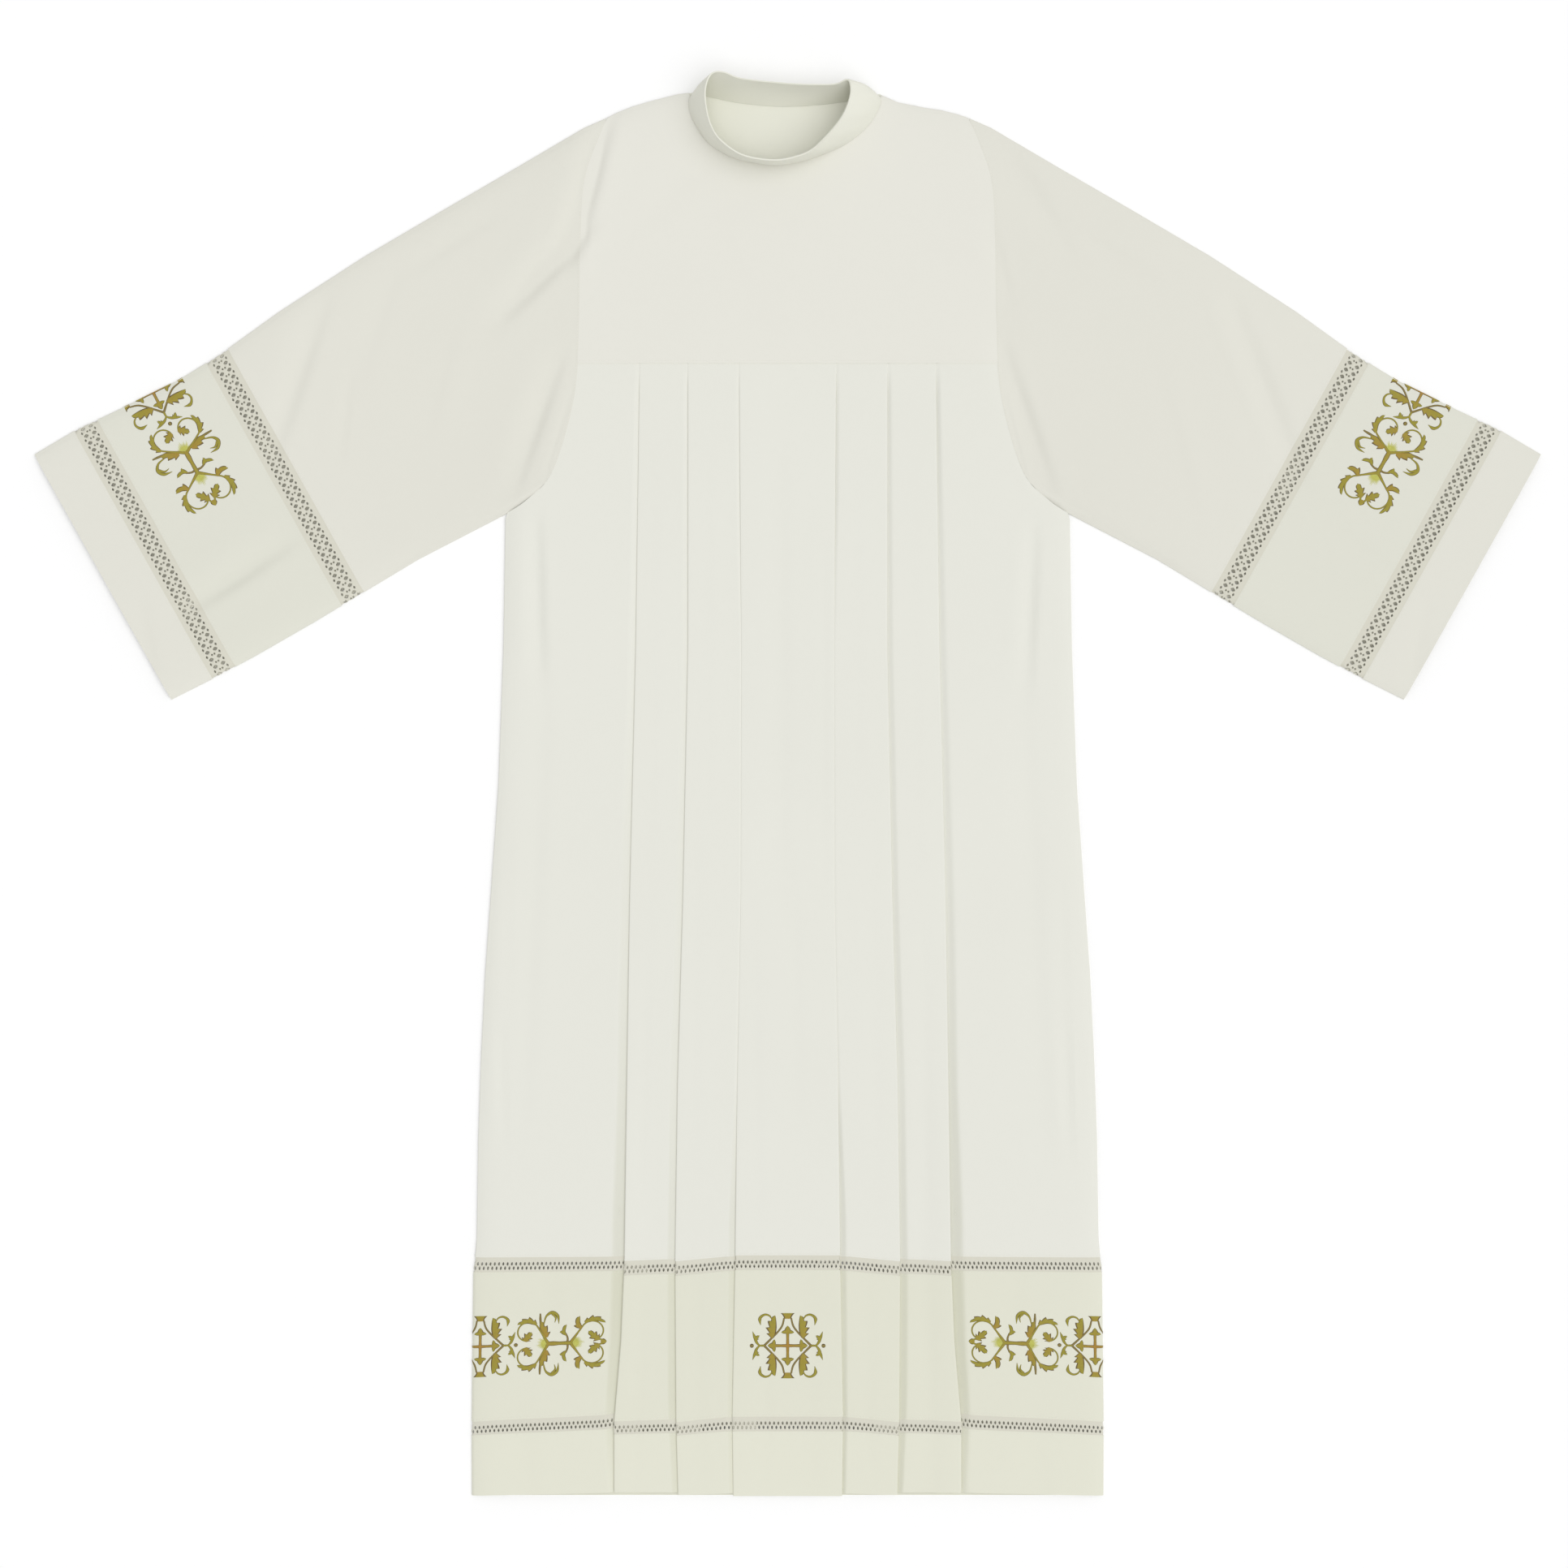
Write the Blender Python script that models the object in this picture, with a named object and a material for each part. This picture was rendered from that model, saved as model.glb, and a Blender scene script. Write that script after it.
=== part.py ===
"""A long white alb laid flat on its back, front up, built as the cloth pieces that are sewn together.

X runs across the robe, Y runs up to the collar and Z is up from the surface that it lies on. Left and
right are as seen from above, with the collar at the top, so the left sleeve runs to -X. The origin is
under the middle of the robe's box. Tables and sizes are in millimetres.
"""

from collections import namedtuple
from math import cos, radians, sin

import bpy
import numpy as np
from mathutils import Vector

MM = 0.001

# Cloth and seams
WALL = 1.0
COLLAR_WALL = 1.5
SEAM = 0.3
TURN = 0.8  # centre-line radius of a pressed fold
BACK_MID = WALL / 2
EDGE_MID = WALL + SEAM + WALL / 2  # the front sheet where it is sewn to the back
FOLD_MID = BACK_MID + 2 * TURN  # the front sheet where it folds round to the back
LOFT = 3.0  # how much higher the front sheet lies away from its edges
LOFT_RUN = 9.0
MOST_MID = 5.1  # the front sheet never lies higher than this over the back, except in a lifted fold

# Seam lines across the body, by their height on the robe
YOKE_SEAM = 429.0
HEM_LACE_TOP = -477.5
HEM_LACE = 14.8
LOW_LACE_TOP = -641.2
HEM = -721.6
ORIGIN_Y = -2.78  # moves the middle of the box to the origin

# Sleeves: every sleeve size is measured from the cuff's upper corner, along the sleeve and across it
CUFF_CORNER = (765.2, 335.8)
SLEEVE_DROOP = radians(29.2)
CUFF_WIDTH = 47.0
SLEEVE_LACE = 26.2
BAND_WIDTH = 124.6
SLEEVE_WIDTH = 288.0
FOLD_TIP = 0.7 * WALL  # from the fold's outer edge to the middle of its cloth
# Distances across the sleeve at which its sections have a point
SLEEVE_COLUMNS = (
    FOLD_TIP, FOLD_TIP + TURN, 7.0, 18.0, 40.0, 74.0, 109.0, 144.0,
    179.0, 214.0, 248.0, 270.0, 281.0, SLEEVE_WIDTH - FOLD_TIP - TURN, SLEEVE_WIDTH - FOLD_TIP,
)

# Pleats: each folds this far back under itself, in three layers
PLEAT_DEPTH = 25.0
UNDER_MID = 1.9
LAYER_STEP = 2 * TURN
TOP_MID = UNDER_MID + 2 * LAYER_STEP
PLEAT_LIFT = 2.2  # how far the outer fold stands up near the hem
LIFT_FROM, LIFT_FULL = -150.0, -450.0
RISE_TOP, RISE_HEM = 9.0, 21.0  # how far out a panel climbs back to the top layer

SideEdge = namedtuple("SideEdge", "y half_width")
SIDE_EDGE = (
    SideEdge(268.0, 286.7),
    SideEdge(138.0, 288.8),
    SideEdge(0.0, 293.8),
    SideEdge(-110.0, 301.5),
    SideEdge(-192.0, 307.3),
    SideEdge(-275.0, 311.4),
    SideEdge(-357.0, 314.3),
    SideEdge(-462.0, 315.8),
    SideEdge(-493.0, 319.3),
    SideEdge(-642.0, 321.0),
    SideEdge(-722.0, 320.8),
)

Shoulder = namedtuple("Shoulder", "x left_y right_y")
SHOULDER = (
    Shoulder(94.0, 703.5, 701.0),
    Shoulder(112.0, 701.2, 693.0),
    Shoulder(140.0, 694.0, 687.4),
    Shoulder(157.0, 688.9, 684.8),
    Shoulder(173.0, 682.6, 680.8),
    Shoulder(183.6, 677.2, 677.2),
)

Armhole = namedtuple("Armhole", "x y")
ARMHOLE = (
    Armhole(183.6, 677.2),
    Armhole(205.0, 620.4),
    Armhole(210.0, 566.8),
    Armhole(211.6, 467.8),
    Armhole(216.6, 393.5),
    Armhole(238.0, 319.3),
    Armhole(264.4, 289.5),
    Armhole(285.0, 276.0),
)

# Fold lines of the sleeve tube: how far across they lie at each length from the cuff
SleeveFold = namedtuple("SleeveFold", "along top under")
SLEEVE_FOLDS = (
    SleeveFold(0.0, 0.0, 285.5),
    SleeveFold(50.0, -1.2, 287.6),
    SleeveFold(95.0, 2.1, 288.4),
    SleeveFold(164.0, 5.6, 287.6),
    SleeveFold(213.0, 3.5, 286.0),
    SleeveFold(288.0, -5.2, 283.6),
    SleeveFold(391.0, -11.9, 286.9),
    SleeveFold(482.0, -13.9, 286.9),
    SleeveFold(573.0, -15.3, 286.9),
    SleeveFold(649.0, -17.0, 286.9),
    SleeveFold(676.0, -14.4, 286.9),
)

# Outer fold edge of the three pleats on each side
PleatEdge = namedtuple("PleatEdge", "y inner middle outer")
PLEAT_EDGES = (
    PleatEdge(429.0, 49.0, 101.0, 150.0),
    PleatEdge(138.0, 47.0, 101.0, 154.0),
    PleatEdge(-110.0, 47.5, 106.0, 160.0),
    PleatEdge(-300.0, 51.0, 111.5, 163.0),
    PleatEdge(-477.0, 53.0, 114.0, 165.5),
    PleatEdge(-560.0, 54.5, 113.5, 169.0),
    PleatEdge(-642.0, 56.0, 113.0, 176.0),
    PleatEdge(-722.0, 55.0, 111.0, 176.0),
)

# How far each panel's own edges hang below the level of the centre panel
PanelDrop = namedtuple("PanelDrop", "y side_edge side_pleat outer_out outer_in middle_out middle_in")
PANEL_DROPS = (
    PanelDrop(100.0, 0.0, 0.0, 0.0, 0.0, 0.0, 0.0),
    PanelDrop(-477.5, 2.2, 1.0, 5.5, 4.0, 6.0, 1.2),
    PanelDrop(-641.2, 5.5, -3.0, 4.5, 3.0, 5.5, 0.5),
    PanelDrop(-722.0, 0.0, -3.7, -3.7, -3.5, -1.0, -2.5),
)

# The largest soft creases of the front, each a straight run from one end to the other
Crease = namedtuple("Crease", "x0 y0 x1 y1 width depth")
CREASES = (
    Crease(-183.0, 655.0, -211.0, 550.0, 17.0, 1.7),
    Crease(-211.0, 550.0, -270.0, 486.0, 19.0, 1.6),
    Crease(-228.0, 415.0, -262.0, 318.0, 14.0, 2.1),
    Crease(205.0, 640.0, 262.0, 545.0, 20.0, 1.2),
    Crease(224.0, 428.0, 262.0, 316.0, 14.0, 2.1),
    Crease(-466.0, 470.0, -507.0, 350.0, 18.0, 1.5),
    Crease(-523.0, 233.0, -592.0, 188.0, 17.0, 1.5),
    Crease(460.0, 470.0, 515.0, 330.0, 20.0, 1.1),
    Crease(-240.0, 120.0, -262.0, -330.0, 15.0, 1.4),
    Crease(246.0, 90.0, 268.0, -360.0, 15.0, 1.4),
)

# The collar's seam and its rim, round from the middle of the front
CollarPoint = namedtuple("CollarPoint", "seam_x seam_y rim_x rim_y rim_z sewn_to")
COLLAR = (
    CollarPoint(-13.6, 630.0, -13.4, 626.6, 38.0, "yoke"),
    CollarPoint(12.0, 632.5, 10.2, 630.7, 38.0, "yoke"),
    CollarPoint(33.0, 639.0, 25.6, 638.0, 38.0, "yoke"),
    CollarPoint(58.9, 650.5, 41.1, 653.5, 38.0, "yoke"),
    CollarPoint(78.6, 666.0, 52.5, 667.7, 38.0, "yoke"),
    CollarPoint(90.0, 682.0, 59.8, 682.5, 37.0, "yoke"),
    CollarPoint(94.0, 696.0, 63.0, 697.0, 36.0, "yoke"),
    CollarPoint(83.0, 699.5, 60.0, 708.0, 35.0, "back"),
    CollarPoint(53.0, 694.0, 46.9, 704.6, 31.0, "back"),
    CollarPoint(20.0, 690.5, 17.5, 704.3, 31.0, "back"),
    CollarPoint(-13.6, 690.0, -13.5, 706.3, 31.0, "back"),
    CollarPoint(-50.0, 693.5, -47.7, 709.9, 33.0, "back"),
    CollarPoint(-77.0, 699.0, -64.0, 715.0, 37.0, "back"),
    CollarPoint(-92.0, 702.0, -76.0, 713.5, 38.0, "back"),
    CollarPoint(-99.0, 696.5, -82.0, 701.0, 38.0, "yoke"),
    CollarPoint(-99.0, 684.0, -82.3, 684.0, 38.0, "yoke"),
    CollarPoint(-92.0, 668.0, -77.5, 663.0, 38.0, "yoke"),
    CollarPoint(-77.8, 649.5, -67.0, 646.5, 38.0, "yoke"),
    CollarPoint(-52.0, 636.0, -44.4, 631.5, 38.0, "yoke"),
)
COLLAR_LEDGE = 1.2  # how far the panel's cloth reaches in under the collar's wall
COLLAR_LEAN = 0.5  # room for the leaning wall's lower corner
COLLAR_SWELL = 2.0
SHOULDER_FADE = 5  # the yoke's columns over which the shoulder's own line fades out

CREAM = (231, 230, 221)
SLEEVE_CREAM = (227, 227, 218)
HEM_CREAM = (229, 229, 211)
LACE_ECRU = (196, 191, 175)


def column(table, name):
    """One named column of a table."""
    return [getattr(row, name) for row in table]


def read(table, key, value, name):
    """The named column at a value of the key column, on straight lines between rows."""
    keys, values = column(table, key), column(table, name)
    if keys[0] > keys[-1]:
        keys, values = keys[::-1], values[::-1]
    return float(np.interp(value, keys, values))


def smooth_curve(points, steps, closed=False):
    """A smooth curve through the points, with the given steps between two of them."""
    points = [np.array(p, float) for p in points]
    count = len(points)
    result = []
    for i in range(count if closed else count - 1):
        if closed:
            a, b, c, d = (points[(i + k) % count] for k in (-1, 0, 1, 2))
        else:
            a, b, c, d = (points[min(max(i + k, 0), count - 1)] for k in (-1, 0, 1, 2))
        for step in range(steps):
            t = step / steps
            result.append(
                0.5 * (2 * b + (c - a) * t + (2 * a - 5 * b + 4 * c - d) * t * t + (3 * b - a - 3 * c + d) * t ** 3)
            )
    if not closed:
        result.append(points[-1])
    return np.array(result)


def moved_sideways(line, distance):
    """A plan line moved to its left by a distance, for a seam allowance."""
    ahead = np.gradient(line, axis=0)
    ahead /= np.linalg.norm(ahead, axis=1)[:, None]
    return line + distance * np.stack([-ahead[:, 1], ahead[:, 0]], axis=1)


def sleeve_point(along, across):
    """The plan place of a point of the right-hand sleeve."""
    x = CUFF_CORNER[0] - cos(SLEEVE_DROOP) * along - sin(SLEEVE_DROOP) * across
    y = CUFF_CORNER[1] + sin(SLEEVE_DROOP) * along - cos(SLEEVE_DROOP) * across
    return x, y


def sleeve_place(x, y):
    """The length along the sleeve and across it of a plan point, the inverse of sleeve_point."""
    dx, dy = x - CUFF_CORNER[0], y - CUFF_CORNER[1]
    return (-cos(SLEEVE_DROOP) * dx + sin(SLEEVE_DROOP) * dy, -sin(SLEEVE_DROOP) * dx - cos(SLEEVE_DROOP) * dy)


def sleeve_share(x, y):
    """How far across the sleeve a plan point lies, from 0 at its top fold to 1 at its under fold."""
    along, across = sleeve_place(x, y)
    top, under = (read(SLEEVE_FOLDS, "along", along, name) for name in ("top", "under"))
    return (across - top) / (under - top)


def armhole_lines():
    """The armhole seam as the body's edge and as the sleeve's, with a corner at each sleeve column."""
    smooth = smooth_curve(ARMHOLE, 6)
    shares = [sleeve_share(x, y) for x, y in smooth]
    columns = [0.0] + [c / SLEEVE_WIDTH for c in SLEEVE_COLUMNS] + [1.0]
    line = np.array([[np.interp(c, shares, smooth[:, k]) for k in range(2)] for c in columns])
    return moved_sideways(line, -SEAM / 2), moved_sideways(line, SEAM / 2)


BODY_ARMHOLE, SLEEVE_ARMHOLE = armhole_lines()
BODY_EDGE = np.array(list(BODY_ARMHOLE) + [(row.half_width, row.y) for row in SIDE_EDGE])
ARMHOLE_SHARES = [sleeve_share(x, y) for x, y in SLEEVE_ARMHOLE]
ARMHOLE_LENGTHS = [sleeve_place(x, y)[0] for x, y in SLEEVE_ARMHOLE]


def outline_runs(side):
    """The robe's upper and under outline on one side, as plan lines."""
    shoulder = [(row.x, row.left_y if side < 0 else row.right_y) for row in SHOULDER]
    top = [sleeve_point(row.along, row.top) for row in reversed(SLEEVE_FOLDS[:-1])]
    under = [sleeve_point(row.along, row.under) for row in SLEEVE_FOLDS if row.along < 392]
    edge = [(row.half_width, row.y) for row in SIDE_EDGE]
    return [[(side * x, y) for x, y in line] for line in (shoulder + top, under + edge)]


OUTLINE = [np.array(line) for side in (-1, 1) for line in outline_runs(side)]


def distance_to_line(x, y, start, end):
    """The distance of a plan point from straight runs, and how far along the nearest run it is."""
    point = np.array((x, y))
    run = end - start
    t = np.clip(((point - start) * run).sum(-1) / (run * run).sum(-1), 0, 1)
    away = np.linalg.norm(start + t[..., None] * run - point, axis=-1)
    nearest = int(np.argmin(away))
    return float(away[nearest]), float(t[nearest])


def height(x, y):
    """Middle of the front sheet: low at the robe's outline, loftier inside, with its soft creases."""
    inside = min(distance_to_line(x, y, line[:-1], line[1:])[0] for line in OUTLINE)
    rise = 1 - np.exp(-inside / LOFT_RUN)
    level = EDGE_MID + LOFT * rise
    for crease in CREASES:
        start, end = np.array([[crease.x0, crease.y0]]), np.array([[crease.x1, crease.y1]])
        away, t = distance_to_line(x, y, start, end)
        level -= crease.depth * rise * np.exp(-((away / crease.width) ** 2)) * (0.6 + 0.4 * sin(3.1416 * t))
    return float(min(max(level, EDGE_MID), MOST_MID))


def half_width(y):
    """Half the width of the body at a height: the armhole above the underarm, the side edge below."""
    return float(np.interp(y, BODY_EDGE[::-1, 1], BODY_EDGE[::-1, 0]))


def pressed_fold(edge, first_z, second_z, way):
    """Three section points round a fold whose edge is at x, from one layer to the next."""
    radius = abs(first_z - second_z) / 2
    return [(edge - way * radius, first_z), (edge, (first_z + second_z) / 2), (edge - way * radius, second_z)]


def front_half(y, folded_edge):
    """Section of the pleated front at a height, from its middle to its right edge: x, z and drop."""
    drops = {name: read(PANEL_DROPS, "y", y, name) for name in PanelDrop._fields[1:]}
    rise_run = float(np.interp(y, (HEM, YOKE_SEAM), (RISE_HEM, RISE_TOP)))
    lift = PLEAT_LIFT * float(np.interp(y, (LIFT_FULL, LIFT_FROM), (1.0, 0.0)))
    panels = (("inner", None, "middle_in"), ("middle", "middle_out", "outer_in"), ("outer", "outer_out", "side_pleat"))
    section = [(0.0, TOP_MID - 0.9, 0.0), (16.0, TOP_MID - 0.5, 0.0)]
    for name, drop_here, drop_next in panels:
        edge = read(PLEAT_EDGES, "y", y, name)
        here = drops[drop_here] if drop_here else 0.0
        beyond = drops[drop_next]
        raised = lift if name == "outer" else 0.0
        outer = pressed_fold(edge, TOP_MID + raised, TOP_MID - LAYER_STEP + raised * 0.3, 1)
        inner = pressed_fold(edge - PLEAT_DEPTH, TOP_MID - LAYER_STEP, UNDER_MID, -1)
        section += [(x, z, here) for x, z in outer]
        section += [(x, z, beyond) for x, z in inner]
        section.append((edge + 3.0, UNDER_MID + 0.15, beyond))
        if name != "outer":
            section.append((edge + rise_run, TOP_MID, beyond))
    last_edge = read(PLEAT_EDGES, "y", y, "outer")
    width = half_width(y)
    start = last_edge + 3.0
    for step, raised in ((14.0, 0.45), (32.0, 0.9)):
        level = UNDER_MID + raised * (height(start + step, y) - UNDER_MID)
        section.append((start + step, level, drops["side_pleat"]))
    room = width - (start + 32.0)
    for inward in (0.62 * room, 0.36 * room, min(16.0, 0.2 * room), min(6.0, 0.08 * room)):
        x = width - inward
        share = (x - start) / (width - start)
        drop = (1 - share) * drops["side_pleat"] + share * drops["side_edge"]
        section.append((x, height(x, y), drop))
    if folded_edge:
        turn = pressed_fold(width - WALL * 0.7, FOLD_MID, BACK_MID, 1)
        section += [(x, z, drops["side_edge"]) for x, z in turn]
    else:
        section.append((width, height(width, y), drops["side_edge"]))
    return section


def mirrored(section):
    """The whole section from the half that starts at the middle."""
    return [(-x, z, drop) for x, z, drop in reversed(section[1:])] + section


def offset_section(points, distance, closed):
    """Section points (across, z) moved to the left of their run, with mitred corners."""
    points = np.array(points, float)
    count = len(points)
    runs = np.roll(points, -1, axis=0) - points
    runs /= np.linalg.norm(runs, axis=1)[:, None]
    result = []
    for i in range(count):
        before = runs[i - 1] if closed or i > 0 else runs[0]
        after = runs[i] if closed or i < count - 1 else runs[count - 2]
        normal = np.array((-before[1] - after[1], before[0] + after[0]))
        normal /= np.linalg.norm(normal)
        result.append(points[i] + normal * distance / max(normal @ (-before[1], before[0]), 0.5))
    return np.array(result)


def section_wall(rows, wall, closed):
    """Outer and inner points of a wall whose rows hold across, z and along for each point."""
    outer, inner = [], []
    for row in rows:
        section = [(across, z) for across, z, _ in row]
        along = np.array([a for _, _, a in row])
        for target, distance in ((outer, wall / 2), (inner, -wall / 2)):
            moved = offset_section(section, distance, closed)
            target.append(np.column_stack([moved[:, 0], along, moved[:, 1]]))
    return np.array(outer), np.array(inner)


def surface_wall(grid, wall, closed):
    """Outer and inner points of a wall on a smooth grid of middle points."""
    grid = np.array(grid, float)
    down = np.gradient(grid, axis=0)
    if closed:
        round_it = (np.roll(grid, -1, axis=1) - np.roll(grid, 1, axis=1)) / 2
    else:
        round_it = np.gradient(grid, axis=1)
    normal = np.cross(down, round_it)
    normal /= np.linalg.norm(normal, axis=2)[:, :, None]
    return grid + normal * wall / 2, grid - normal * wall / 2


def add_piece(name, outer, inner, closed, colour, roughness=0.85):
    """Makes one closed wall from its outer and inner points, as an object with its own material."""
    rows, columns = outer.shape[:2]
    points = np.concatenate([outer.reshape(-1, 3), inner.reshape(-1, 3)])
    points[:, 1] -= ORIGIN_Y
    centre = (points.min(0) + points.max(0)) / 2
    centre[2] = 0.0
    inner_start = rows * columns
    around = [(c, (c + 1) % columns) for c in range(columns if closed else columns - 1)]
    faces = []

    def add_quad(a, b, c, d):
        faces.append((a, b, c))
        faces.append((a, c, d))

    for r in range(rows - 1):
        for c, n in around:
            a, b, d, e = r * columns + c, r * columns + n, (r + 1) * columns + n, (r + 1) * columns + c
            add_quad(a, e, d, b)
            faces.append((inner_start + a, inner_start + d, inner_start + e))
            faces.append((inner_start + a, inner_start + b, inner_start + d))
    for c, n in around:
        add_quad(c, n, inner_start + n, inner_start + c)
        low = (rows - 1) * columns
        add_quad(low + c, inner_start + low + c, inner_start + low + n, low + n)
    if not closed:
        for r in range(rows - 1):
            a, b = r * columns, (r + 1) * columns
            add_quad(a, inner_start + a, inner_start + b, b)
            add_quad(a + columns - 1, b + columns - 1, inner_start + b + columns - 1, inner_start + a + columns - 1)

    mesh = bpy.data.meshes.new(name)
    mesh.from_pydata([tuple((p - centre) * MM) for p in points], [], faces)
    if signed_volume(points, faces) < 0:
        mesh.flip_normals()
    mesh.shade_smooth()
    mesh.set_sharp_from_angle(angle=radians(40))
    piece = bpy.data.objects.new(name, mesh)
    piece.location = Vector(centre * MM)
    piece.parent = ROBE
    bpy.context.scene.collection.objects.link(piece)
    mesh.materials.append(cloth_material(name, colour, roughness))
    return piece


def signed_volume(points, faces):
    """The volume inside the faces, negative where they face inwards."""
    a, b, c = (points[[face[k] for face in faces]] for k in range(3))
    return float((a * np.cross(b, c)).sum() / 6)


def cloth_material(name, colour, roughness):
    """A plain cloth finish from an sRGB colour."""
    material = bpy.data.materials.new(name + "_cloth")
    material.use_nodes = True
    shader = material.node_tree.nodes["Principled BSDF"]
    linear = [((v / 255 + 0.055) / 1.055) ** 2.4 for v in colour]
    shader.inputs["Base Color"].default_value = (*linear, 1.0)
    shader.inputs["Roughness"].default_value = roughness
    shader.inputs["Metallic"].default_value = 0.0
    material.diffuse_color = (*linear, 1.0)
    return material


def body_rows(heights, folded_edge):
    """Rows of the pleated front at the given heights, as section points with their place along Y."""
    rows = []
    for y in heights:
        section = mirrored(front_half(y, folded_edge))
        rows.append([(x, z, y - drop) for x, z, drop in section])
    return rows


def make_front():
    """The pleated front, from the yoke seam to the upper hem lace."""
    heights = [YOKE_SEAM - SEAM / 2] + [y for y in BODY_ARMHOLE[:, 1] if y < YOKE_SEAM - 8]
    heights += [SIDE_EDGE[0].y] + list(np.linspace(180, -390, 8))
    heights.append(HEM_LACE_TOP + SEAM / 2)
    outer, inner = section_wall(body_rows(heights, False), WALL, False)
    add_piece("front", outer, inner, False, CREAM)


def make_hem_ring(name, top, bottom, steps, colour):
    """One piece of the hem, all round: pleated in front, flat on the surface behind."""
    rows = []
    for y in np.linspace(top - SEAM / 2, bottom + SEAM / 2, steps + 1):
        front = mirrored(front_half(y, True))
        width = half_width(y)
        drop = read(PANEL_DROPS, "y", y, "side_edge")
        back = [(x, BACK_MID, drop) for x in np.linspace(width * 0.8, -width * 0.8, 4)]
        rows.append([(x, z, y - d) for x, z, d in front + back])
    outer, inner = section_wall(rows, WALL, True)
    add_piece(name, outer, inner, True, colour)


def make_hem():
    """The two hem laces with the embroidered band between them, and the plain border."""
    lines = (
        ("hem_lace_upper", HEM_LACE_TOP, HEM_LACE_TOP - HEM_LACE, 1, LACE_ECRU),
        ("hem_band", HEM_LACE_TOP - HEM_LACE, LOW_LACE_TOP, 2, HEM_CREAM),
        ("hem_lace_lower", LOW_LACE_TOP, LOW_LACE_TOP - HEM_LACE, 1, LACE_ECRU),
        ("hem_border", LOW_LACE_TOP - HEM_LACE, HEM - SEAM / 2, 1, HEM_CREAM),
    )
    for name, top, bottom, steps, colour in lines:
        make_hem_ring(name, top, bottom, steps, colour)


def top_edge(x):
    """The back panel's upper edge at x: the shoulder outside the neck, the neckline inside it."""
    if abs(x) >= SHOULDER[0].x:
        return read(SHOULDER, "x", abs(x), "left_y" if x < 0 else "right_y")
    neckline = sorted((p.seam_x, p.seam_y) for p in COLLAR if p.sewn_to == "back")
    neckline = [(-SHOULDER[0].x, SHOULDER[0].left_y)] + neckline + [(SHOULDER[0].x, SHOULDER[0].right_y)]
    return float(np.interp(x, *zip(*neckline))) + COLLAR_LEDGE


def make_back():
    """The plain back, flat on the surface, whose upper edge shows inside the neck."""
    heights = list(BODY_ARMHOLE[:, 1]) + [row.y for row in SIDE_EDGE if row.y > HEM_LACE_TOP + 20]
    heights.append(HEM_LACE_TOP + SEAM / 2)
    shares = (-1.0, -0.76, -0.51, -0.42, -0.28, -0.1, 0.1, 0.28, 0.42, 0.51, 0.76, 1.0)
    drop = read(PANEL_DROPS, "y", HEM_LACE_TOP, "side_edge")
    rows = []
    for y in heights:
        width = half_width(y)
        fade = float(np.interp(y, (560.0, heights[0]), (0.0, 1.0)))
        level = y - drop * (y == heights[-1])
        row = []
        for share in shares:
            x = share * width
            row.append((x, BACK_MID, level + fade * (top_edge(x) - heights[0])))
        rows.append(row)
    outer, inner = section_wall(rows, WALL, False)
    add_piece("back", outer, inner, False, CREAM)


def neck_line(steps):
    """The front's neckline just inside the collar seam, from the left shoulder to the right one."""
    first = next(i for i, p in enumerate(COLLAR) if p.sewn_to == "back" and COLLAR[i + 1].sewn_to == "yoke") + 1
    order = COLLAR[first:] + COLLAR
    count = sum(p.sewn_to == "yoke" for p in COLLAR)
    points = [(p.seam_x, p.seam_y) for p in order[:count]]
    line = smooth_curve(points, steps)
    return moved_sideways(line, COLLAR_LEDGE)


def make_yoke():
    """The front yoke, in rows that run round the neck from shoulder to shoulder."""
    inner_line = neck_line(3)
    armhole = [tuple(p) for p in BODY_ARMHOLE[[0, *range(3, len(BODY_ARMHOLE))]] if p[1] > YOKE_SEAM + 8]
    corner = half_width(YOKE_SEAM)
    seam = [(x, YOKE_SEAM + SEAM / 2) for x in np.linspace(-corner, corner, 13)]
    outer_line = np.array([(-x, y) for x, y in armhole] + seam + armhole[::-1])
    count = len(outer_line)
    spots, reach = np.linspace(0, 1, count), np.linspace(0, 1, len(inner_line))
    start_line = np.stack([np.interp(spots, reach, inner_line[:, k]) for k in range(2)], axis=1)
    grid = []
    for share in (0.0, 0.07, 0.2, 0.36, 0.54, 0.72, 0.88, 1.0):
        line = (1 - share) * start_line + share * outer_line
        for end, name in ((0, "left_y"), (count - 1, "right_y")):
            lift = (read(SHOULDER, "x", abs(line[end, 0]), name) - line[end, 1]) if share > 0 else 0.0
            line[:, 1] += lift * np.clip(1 - np.abs(np.arange(count) - end) / SHOULDER_FADE, 0, 1)
        grid.append([(x, y, height(x, y)) for x, y in line])
    outer, inner = surface_wall(grid, WALL, False)
    add_piece("front_yoke", outer, inner, False, CREAM)


def make_collar():
    """The stand collar, one ring sewn to the front yoke and to the back's neckline."""
    seam, rim = [], []
    for point in COLLAR:
        carrier = WALL if point.sewn_to == "back" else height(point.seam_x, point.seam_y) + WALL / 2
        seam.append((point.seam_x, point.seam_y, carrier + SEAM + COLLAR_LEAN))
        rim.append((point.rim_x, point.rim_y, point.rim_z))
    seam, rim = smooth_curve(seam, 2, True), smooth_curve(rim, 2, True)
    centre = (seam.mean(0) + rim.mean(0)) / 2
    grid = []
    for share in (0.0, 0.3, 0.65, 1.0):
        ring = seam + share * (rim - seam)
        outward = ring - centre
        outward[:, 2] = 0
        outward /= np.linalg.norm(outward, axis=1)[:, None]
        grid.append(ring + outward * COLLAR_SWELL * sin(3.1416 * share))
    outer, inner = surface_wall(grid, COLLAR_WALL, True)
    add_piece("collar", outer, inner, True, CREAM)


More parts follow.
